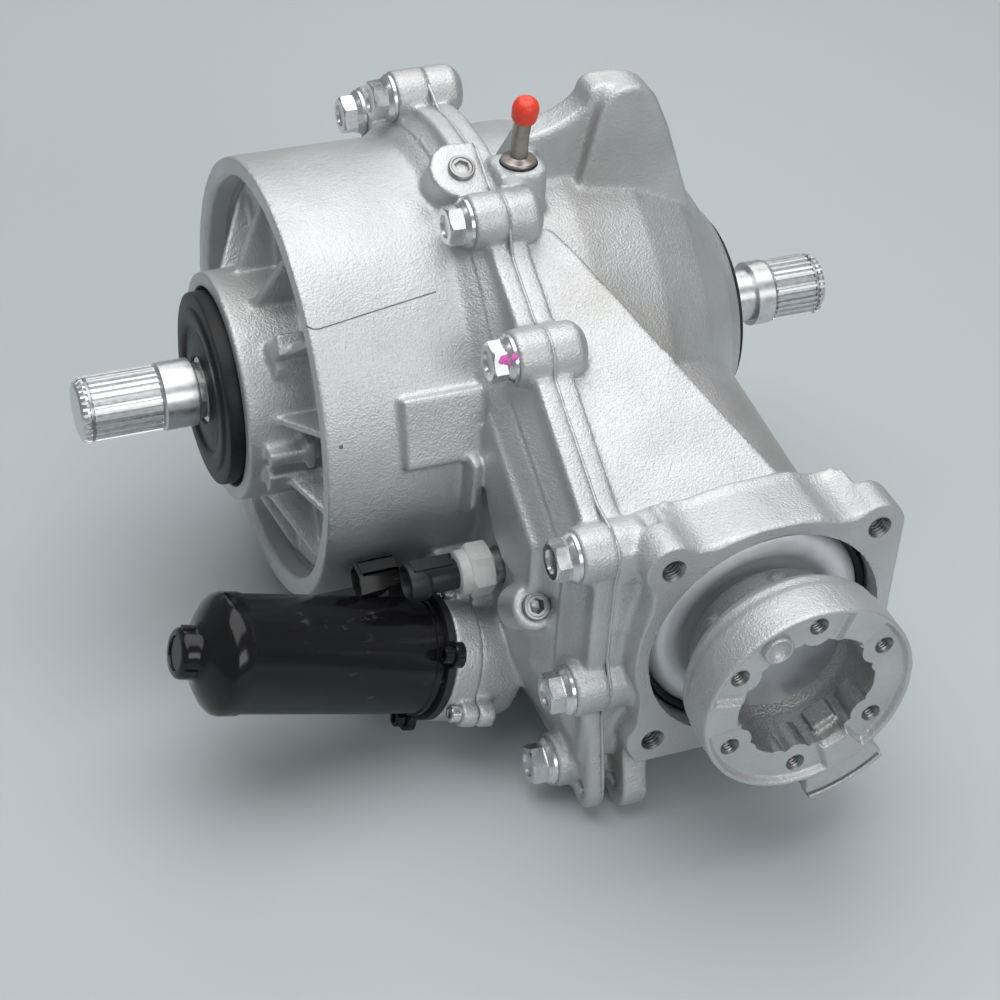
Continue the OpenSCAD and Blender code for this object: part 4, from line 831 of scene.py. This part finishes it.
# Input flange: cup with three shallow recesses, scalloped rim, dimple, inner block and balance tab
HOLE_CIRCLE_R = 43.0
HOLE_R = 4.25
HOLE_PLACES = [polar(HOLE_CIRCLE_R, 90 + 60 * i) for i in range(6)]
PAIR_ANGLES = (120, 0, 240)
TAB_ANGLE = -64
TAB_HALF_ANGLE = 17
TAB_R = INPUT_R + 19
RECESS_DEPTH = 3.2
RECESS_WALL = 1.6
RECESS_R = 51.6
RECESS_HALF_ANGLE = 49
# Where the casting is left rough: within the bowl, on the neck behind the cup, and on the tab
ROUGH_BOWL_R = 38.5
ROUGH_BOWL_DEPTH = 3.4
ROUGH_NECK_R = 46
ROUGH_NECK_DEPTH = 25
ROUGH_TAB_DEPTH = 7.6


def input_flange_mesh():
    face = on_pinion(INPUT_F)
    body = Form()
    tab_start = TAB_ANGLE - TAB_HALF_ANGLE
    tab_end = TAB_ANGLE + TAB_HALF_ANGLE
    body.prism(sector(INPUT_R - 4, TAB_R, tab_start, tab_end), -12, -8.5, face)
    body.prism(sector(INPUT_R + 16.4, TAB_R, tab_start, tab_end), -12, -3, face)
    body.lathe([(INPUT_R - 7, -27), (INPUT_R - 1.6, -24), (INPUT_R - 0.3, -20), (INPUT_R, -15),
                (INPUT_R, -0.6), (INPUT_R - 0.6, 0), (INPUT_R - 7, 0)], face, 96, cyclic=True)
    # rough neck with six lobes behind the holes
    body.lathe([(33, -54), (38, -52.5), (39.6, -46), (40.4, -38), (43.5, -30), (46, -24), (40, -24),
                (33, -34)], face, 72, cyclic=True)
    for i in range(6):
        lobe = face @ moved(*polar(34, 90 + 60 * i))
        body.lathe([(0, -49), (5, -49), (8.5, -44), (8.8, -33), (0, -33)], lobe, 24)
    # scallops of the rim
    for i in range(12):
        scallop = face @ moved(*polar(37.5, 15 + 30 * i))
        body.lathe([(0, -14), (3.2, -14), (3.6, -1.2), (2.6, -0.6), (0, -0.6)], scallop, 20)
    # block inside, by the tab
    block = face @ moved(*polar(34.5, TAB_ANGLE + 5)) @ spun(TAB_ANGLE + 95)
    body.prism(box(-6.5, 6.5, -4, 4), -22, -9, block, 1)
    points, triangles = joined(node_arrays("input_flange"), body.arrays())
    return fused(points, triangles, INPUT_CELL * MM)


def sink_recesses(mesh):
    """Lowers the front face to the floor of the three recesses, each round a pair of holes."""
    face_y = NOSE - INPUT_F
    for vertex in mesh.vertices:
        x, y, z = vertex.co / MM
        reach = math.hypot(x, z)
        turn = math.degrees(math.atan2(z, x))
        near = min(abs((turn - degrees + 180) % 360 - 180) for degrees in PAIR_ANGLES)
        inward = min(RECESS_R - reach, math.radians(RECESS_HALF_ANGLE - near) * reach)
        floor_y = face_y + RECESS_DEPTH * min(1, max(0, inward / RECESS_WALL))
        vertex.co.y = max(y, floor_y) * MM


flange_mesh = input_flange_mesh()
flange_keepers = [Flat(1, -INPUT_F)]
for hole_x, hole_z in HOLE_PLACES:
    hole_at = (hole_x, 0, hole_z - DROP)
    flange_keepers.append(Opened(1, hole_at, HOLE_R + 0.3, -INPUT_F - 1, -INPUT_F + 12))
ease(flange_mesh, 3, flange_keepers)
sink_recesses(flange_mesh)
add_piece("input_flange_cast", flange_mesh, "pinion", "cast_aluminium", "input_flange")
flange_mesh.materials.append(PAINTS["rough_casting"])
for polygon in flange_mesh.polygons:
    x, y, z = polygon.center / MM
    reach = math.hypot(x, z)
    deep = y - NOSE + INPUT_F
    in_bowl = reach < ROUGH_BOWL_R and deep > ROUGH_BOWL_DEPTH
    on_neck = reach < ROUGH_NECK_R and deep > ROUGH_NECK_DEPTH
    on_tab = INPUT_R + 0.8 < reach < INPUT_R + 16.2 and deep > ROUGH_TAB_DEPTH
    polygon.material_index = int(in_bowl or on_neck or on_tab)

dimple = Form()
dimple.lathe([(0, -12), (7.6, -12), (7.6, -1.2), (7.2, -0.4), (6.6, -0.05), (6.0, -0.2), (5.2, -1.4),
              (3.4, -2.9), (0, -3.5)], on_pinion(INPUT_F) @ moved(*polar(41.0, PAIR_ANGLES[0])), 40)
add_form("input_dimple", dimple, "pinion", "cast_aluminium")

input_threads = Form()
for hole_x, hole_y in HOLE_PLACES:
    hole_place = on_pinion(INPUT_F - RECESS_DEPTH) @ moved(hole_x, hole_y)
    thread_tube(input_threads, hole_place, HOLE_R, pitch=1.5, depth=15, proud=0.15)
add_form("input_threads", input_threads, "pinion", "plug_steel", crease=30, paint="thread")

DEFLECTOR_PLACE = on_pinion(FLANGE_F - 13)
deflector = Form()
deflector.lathe([(25.2, -8), (30, -8), (30, -3), (38, -2), (46, -3), (50.5, -6), (53.5, -10), (55.8, -10.4),
                 (57.0, -9.2), (57.0, -6), (56.4, -2.6), (54.8, 0.8), (52.4, 3.0), (49.4, 4.2), (46, 4.6),
                 (43, 4.2), (40.6, 3.2), (38, 1), (35, -0.6), (25.2, -0.6)],
                DEFLECTOR_PLACE, 96, cyclic=True)
add_form("dust_deflector_spun", deflector, "pinion", "polished_steel", "dust_deflector", crease=50)
skirt_rubber = Form()
skirt_rubber.lathe([(55.0, -12), (58.6, -12), (59.2, -10), (58.6, -7.6), (57.2, -6.6), (55.4, -7.6)],
                   DEFLECTOR_PLACE, 96, cyclic=True)
add_form("deflector_lip", skirt_rubber, "pinion", "black_rubber", crease=60)
disc = Form()
disc.lathe([(0, 0), (23.8, 0), (29.6, 2.2), (30.4, 3.6), (29.8, 4.6), (27, 5.0), (15, 5.4), (0, 5.6)],
           on_pinion(INPUT_F - 36 + 0.1), 72)
add_form("flange_cap_disc", disc, "pinion", "disc_steel", "flange_cap", crease=40)


# Motor: drawn can with three lugs on its nose, and the ears that its screws go through
CAN_PLACE = on_motor(CAN_S)
CAN_SCREW_ANGLES = (70, 190, 310)
CAN_SCREW_R = CAN_R + 7
ADAPTER_SCREWS = ((33, 10), (-34, 12), (-8, -36))
ADAPTER_FACE_S = 17.06

can = Form()
can_body = [(CAN_R - 2, 0), (CAN_R, 0), (CAN_R, 2.5), (CAN_R + 0.9, 3), (CAN_R + 0.9, 5), (CAN_R, 5.5)]
can_nose = [(CAN_R, -12), (CAN_R + 0.8, -11), (CAN_R + 0.9, -3), (CAN_R + 0.2, -0.5), (CAN_R - 2, 2.0),
            (CAN_R - 5, 4), (CAN_R - 9, 6.4), (CAN_R - 13, 8), (14.4, 9), (13.2, 10.5), (12.8, 12),
            (12.8, 16.5), (12.3, 18.2), (11, 19.3), (8.6, 19.5), (8.2, 18.6), (0, 18.6)]
can.lathe(can_body + [(r, CAN_LENGTH + z) for r, z in can_nose], CAN_PLACE, 96)
for degrees in (20, 140, 260):
    lug = CAN_PLACE @ moved(*polar(12.6, degrees)) @ spun(degrees)
    can.prism(box(-1.1, 1.1, -2.2, 2.2), CAN_LENGTH + 11, CAN_LENGTH + 17.6, lug, 0.4)
add_form("motor_can_pressed", can, "housing", "black_paint", "motor_can", crease=40)

motor_screws = Form()
ears = Form()
for degrees in CAN_SCREW_ANGLES:
    screw_place = CAN_PLACE @ moved(*polar(CAN_SCREW_R, degrees))
    socket_head(motor_screws, screw_place, radius=4.6, head=6, shank=2.5, across=4.6)
    ears.lathe([(3, -3.9), (6.6, -3.9), (6.6, 0.2), (6.0, 0.9), (3, 0.9)], screw_place, 36, cyclic=True)
add_form("motor_screws_detail", motor_screws, "housing", "black_paint", "motor_bolts", crease=30)
add_form("motor_ears", ears, "housing", "black_paint", crease=40)

adapter_screws = Form()
for x, y in ADAPTER_SCREWS:
    screw_place = on_motor(ADAPTER_FACE_S) @ moved(x, y)
    socket_head(adapter_screws, screw_place, radius=4.2, head=5, shank=2.4, across=4.2)
add_form("adapter_screws_detail", adapter_screws, "housing", "zinc_bolt", "adapter_screws", crease=30)


# Sensor: chamfered nut with a stepped collar, then its plug shell with a latch and two pins
SENSOR_NUT_S = 6.0
NUT_ACROSS = 24.25
NUT_CHAMFER_R = 12
NUT_CHAMFER_SLOPE = 0.55
nut = Form()
nut.loft([
    hexagon(NUT_ACROSS - 1.5, 0.02),
    hexagon(NUT_ACROSS, 0, lift=lambda r: 0.4 + max(0, r - NUT_CHAMFER_R) * NUT_CHAMFER_SLOPE),
    hexagon(NUT_ACROSS, 0, lift=lambda r: 11.6 - max(0, r - NUT_CHAMFER_R) * NUT_CHAMFER_SLOPE),
    hex_circle(12.0, 12.0), hex_circle(11.5, 12.1), hex_circle(11.5, 15.6), hex_circle(10.6, 17.0),
    hex_circle(9.4, 17.5),
], on_sensor(SENSOR_NUT_S))
add_form("sensor_nut_turned", nut, "housing", "nut_white", "sensor_nut", crease=25)

SHELL_R = 9.4
SHELL_LENGTH = 26
SHELL_WALL = 1.2
SHELL_PLACE = on_sensor(SENSOR_NUT_S + 12 + 5.5 + 0.06)
sensor_plug = Form()
sensor_plug.lathe([
    (0, 0), (SHELL_R - 2, 0), (SHELL_R - 1.6, 0.6), (SHELL_R - 1.6, SHELL_LENGTH * 0.55),
    (SHELL_R, SHELL_LENGTH * 0.62), (SHELL_R + 0.6, SHELL_LENGTH * 0.66),
    (SHELL_R + 0.6, SHELL_LENGTH - 0.5), (SHELL_R + 0.1, SHELL_LENGTH), (SHELL_R - SHELL_WALL, SHELL_LENGTH),
    (SHELL_R - SHELL_WALL - 0.3, SHELL_LENGTH - 0.5), (SHELL_R - SHELL_WALL - 0.4, SHELL_LENGTH * 0.5),
    (0, SHELL_LENGTH * 0.5),
], SHELL_PLACE, 40)
sensor_plug.prism(box(6.5, 10.4, -4, 4), 3, 23, SHELL_PLACE, 0.5)
for low in (-5.4, 4.2):
    sensor_plug.prism(box(5.5, 9.4, low, low + 1.2), 1, 18, SHELL_PLACE, 0.2)
for y in (-2.2, 2.2):
    sensor_plug.lathe([(0, 10), (0.7, 10), (0.7, 21), (0, 22)], SHELL_PLACE @ moved(0, y), 8)
add_form("sensor_plug", sensor_plug, "housing", "black_plastic", "sensor_connector", crease=35)


# Motor plug: six-sided funnel with its latch, on a foot that stands on the motor's flange
PLUG_PLACE = along((-142.0, -122.0, -44.0), (-1, 0, 0))
motor_plug = Form()
motor_plug.loft([
    hexagon(11.0, 0), hexagon(11.5, 9), hexagon(14.6, 12), hexagon(15.4, 16), hexagon(16.8, 24.4),
    hexagon(16.6, 24.8), hexagon(14.6, 24.8), hexagon(13.8, 22), hexagon(9.6, 13), hexagon(9.2, 12),
], PLUG_PLACE)
motor_plug.prism(box(8.0, 9.0, -5, 5), 4, 23, PLUG_PLACE, 0.3)
for low in (-5, 4):
    motor_plug.prism(box(6.0, 9.0, low, low + 1), 4, 23, PLUG_PLACE, 0.2)
motor_plug.prism(box(-17.8, 2, -6, 6), 0.2, 9, PLUG_PLACE, 0.8)
for y in (-2, 2):
    motor_plug.lathe([(0, 11), (0.7, 11), (0.7, 19), (0, 20)], PLUG_PLACE @ moved(0, y), 8)
add_form("motor_plug", motor_plug, "housing", "black_plastic", "motor_connector", crease=30)


# Paint on one bolt: dabs, each with its X, its angle and reach round the bolt, and its size
MARKED_BOLT = (-124.0, 78.1)
DABS = ((-97, 143, 9.6, 2.6), (-95.4, 150, 10.4, 2.2), (-98.6, 137, 9.6, 1.9), (-100, 146, 9.5, 1.2),
        (-94.2, 141, 12.6, 1.6))
paint_dab = Form()
for x, turn, r, size in DABS:
    out_y, out_z = polar(1, turn)
    dab_place = along((x, MARKED_BOLT[0] + r * out_y, MARKED_BOLT[1] + r * out_z), (0, out_y, out_z))
    paint_dab.lathe([(0, -0.5), (size, -0.4), (size + 0.2, 0), (size - 0.3, 0.3), (0, 0.4)], dab_place, 14)
add_form("paint_dab", paint_dab, "housing", "zinc_bolt", crease=60, paint="pink_mark")


# The drum's parting line, hooked at its end, and a pit in its skin, drawn in dark paint as painted shade
# along the seam and in the pit
PARTING_LENGTH = 67
PARTING_ANGLE = 134.6
PARTING_FALL = 4.6
PARTING_STEPS = 24
PIT_X = -171.9
PIT_ANGLE = 163
drum_shade_marks = Form()
line = []
for i in range(PARTING_STEPS + 1):
    x = DRUM_END_X + 0.2 + PARTING_LENGTH * i / PARTING_STEPS
    hook = 1.6 * max(0, 1 - i / 2) ** 2
    y, z = polar(DRUM_R + 0.02, PARTING_ANGLE - PARTING_FALL * i / PARTING_STEPS - hook)
    line.append((x, y, z))
drum_shade_marks.tube(line, 0.32, 6)
pit_y, pit_z = polar(DRUM_R, PIT_ANGLE)
drum_shade_marks.lathe([(0, -0.3), (0.9, -0.2), (1.1, 0.05), (0, 0.15)],
                 along((PIT_X, pit_y, pit_z), (0, pit_y, pit_z)), 14)
# the dark iron paint on the seam and the pit is painted shade, not the casting's colour
add_form("drum_shade_marks", drum_shade_marks, "housing", "cast_aluminium", crease=60, paint="case_iron")


def add_plug(name, turn, node):
    """Plug with a hexagon socket."""
    form = Form()
    form.loft([
        hex_circle(5.4, -14), hex_circle(5.4, 0), hex_circle(6.5, 0.1), hex_circle(6.8, 0.5),
        hex_circle(6.8, 1.7), hex_circle(6.3, 2.3), hex_circle(5.4, 2.4), hex_circle(5.0, 1.9),
        hex_circle(4.6, 1.9), hexagon(6.9, 2.0), hexagon(6.5, 1.5), hexagon(6.5, -4.5),
        hex_circle(0.3, -5.2),
    ], turn)
    add_form(name, form, "housing", "plug_steel", node, crease=30)


add_plug("fill_plug_turned", leaning(FILL_AT, FILL_LEAN), "fill_plug")
add_plug("level_plug_turned", leaning(LEVEL_AT, LEVEL_LEAN), "level_plug")


# Breather: bent tube with its collar, an O-ring and the red cap
BREATHER_R = 4.4
BREATHER_LEAN = math.radians(14)
BREATHER_PLACE = Matrix.Translation(BREATHER_AT)
foot = Vector(BREATHER_AT)
bend = foot + Vector((0, 0, 28))
tip_way = Vector((0, -math.sin(BREATHER_LEAN), math.cos(BREATHER_LEAN)))
path = [foot + Vector((0, 0, z)) for z in (2.2, 8, 14, 19)]
path += [bend + Vector((0, 0, -5 + i)) + tip_way * 0.12 * i * i for i in range(1, 5)]
path += [bend + tip_way * d for d in (2, 8, 14, 20)]
tube = Form()
tube.tube(path, BREATHER_R, 28)
tube.lathe([(BREATHER_R - 0.4, 14.1), (8.6, 14.1), (9.0, 14.5), (9.0, 15.6), (8.4, 16.3), (5.6, 16.6),
            (BREATHER_R - 0.4, 17.8)], BREATHER_PLACE, 48, cyclic=True)
add_form("breather_tube_bent", tube, "housing", "tube_steel", "breather_tube", crease=50)
seal_ring = Form()
seal_ring.lathe(arc_points((8.9, 13.9), 0.75, 0, 330, 11), BREATHER_PLACE, 48, cyclic=True)
add_form("breather_o_ring", seal_ring, "housing", "black_rubber", crease=60)
cap = Form()
cap.lathe([(BREATHER_R + 0.05, 0.1), (5.6, 0), (6.2, 0.6), (6.4, 2), (6.6, 4.6), (6.8, 6), (6.5, 8.2),
           (5.6, 10.4), (4.2, 11.8), (2.6, 12.4), (1.4, 12.2), (0, 11.9), (0, 8.3),
           (BREATHER_R + 0.05, 8.3)],
          along(bend + tip_way * 12, tip_way, (1, 0, 0)), 48)
add_form("breather_cap_moulded", cap, "cap", "red_cap", "breather_cap", crease=40)


# Left output: grooved neck of the shaft, the lip that closes on it, and the stepped black seal
GROOVES = 5
GROOVE_PITCH = 3
neck_profile = [(13, -8)]
for i in range(GROOVES):
    step = GROOVE_PITCH * i
    neck_profile += [(16.0, -7.6 + step), (16.6, -7.0 + step), (16.6, -5.6 + step), (15.4, -5.0 + step)]
neck_profile += [(15.4, 8), (13, 8)]
neck = Form()
neck.lathe(neck_profile, on_axle(HUB_END_X - 20), 64, cyclic=True)
add_form("left_shaft_neck", neck, "left_output", "shaft_steel", crease=40, paint="tube_steel")
lip = Form()
lip.lathe([(17.4, 0.8), (18.4, 0), (24, 0.6), (30, 1.6), (30, 3.4), (18.4, 2.4)],
          on_axle(HUB_END_X - 9.2, 1), 72, cyclic=True)
add_form("left_seal_lip", lip, "housing", "black_rubber", crease=40)
left_cap = Form()
left_cap.lathe([(25.1, 2), (33, 2), (34, 1), (35.4, 0.3), (41.6, 0.0), (42.6, 0.5), (43.4, 1.5), (44.4, 1.8),
                (49.2, 1.9), (50.2, 2.4), (50.6, 3.4), (50.6, 11.6), (50.0, 12.4), (46, 13.4), (45, 15),
                (25.1, 15)], on_axle(HUB_END_X - 9.5, 1), 96, cyclic=True)
add_form("left_seal_moulded", left_cap, "housing", "black_rubber", "left_seal", crease=30)


# Floor, light and air, in metres
FLOOR_COLOR = (0.50, 0.545, 0.56)
FLOOR_HALF = 4.0
FLOOR_Z = cad_box[0].z
AIR_COLOR = (0.80, 0.82, 0.84)
AIR_STRENGTH = 0.30
LIT_POINT = (-0.05, 0.12, 0.0)


def make_stage():
    corners = [(x, y, FLOOR_Z) for x, y in box(-FLOOR_HALF, FLOOR_HALF, -FLOOR_HALF, FLOOR_HALF)]
    mesh = make_mesh("floor", corners, [(0, 1, 2, 3)])
    floor = link_object("floor", mesh)
    paint = Paint("floor_paint", FLOOR_COLOR, 0.0, 0.6)
    cloud = paint.mask(paint.noise(1.5, 2), 0.3, 0.7)
    darker = tuple(c * 0.97 for c in FLOOR_COLOR)
    paint.color(paint.mix(cloud, darker, FLOOR_COLOR))
    mesh.materials.append(paint.material)


def make_area(name, at, size, power):
    """Rectangular lamp that faces the part."""
    data = bpy.data.lights.new(name, "AREA")
    data.shape = "RECTANGLE"
    data.size = size[0]
    data.size_y = size[1]
    data.energy = power
    lamp = link_object(name, data)
    lamp.location = at
    lamp.rotation_mode = "QUATERNION"
    lamp.rotation_quaternion = (Vector(LIT_POINT) - Vector(at)).to_track_quat("-Z", "Y")


def make_world():
    world = bpy.data.worlds.new("studio")
    bpy.context.scene.world = world
    world.use_nodes = True
    back = world.node_tree.nodes["Background"]
    back.inputs["Color"].default_value = (*AIR_COLOR, 1)
    back.inputs["Strength"].default_value = AIR_STRENGTH


make_stage()
make_world()
make_area("key_light", (-0.1, 0.25, 1.8), size=(2.4, 2.0), power=33)
make_area("front_light", (0.35, -1.8, 1.0), size=(1.5, 0.8), power=13)
make_area("rear_light", (0.4, 1.6, 1.1), size=(1.4, 0.7), power=4)
bpy.context.scene.view_settings.view_transform = "Standard"
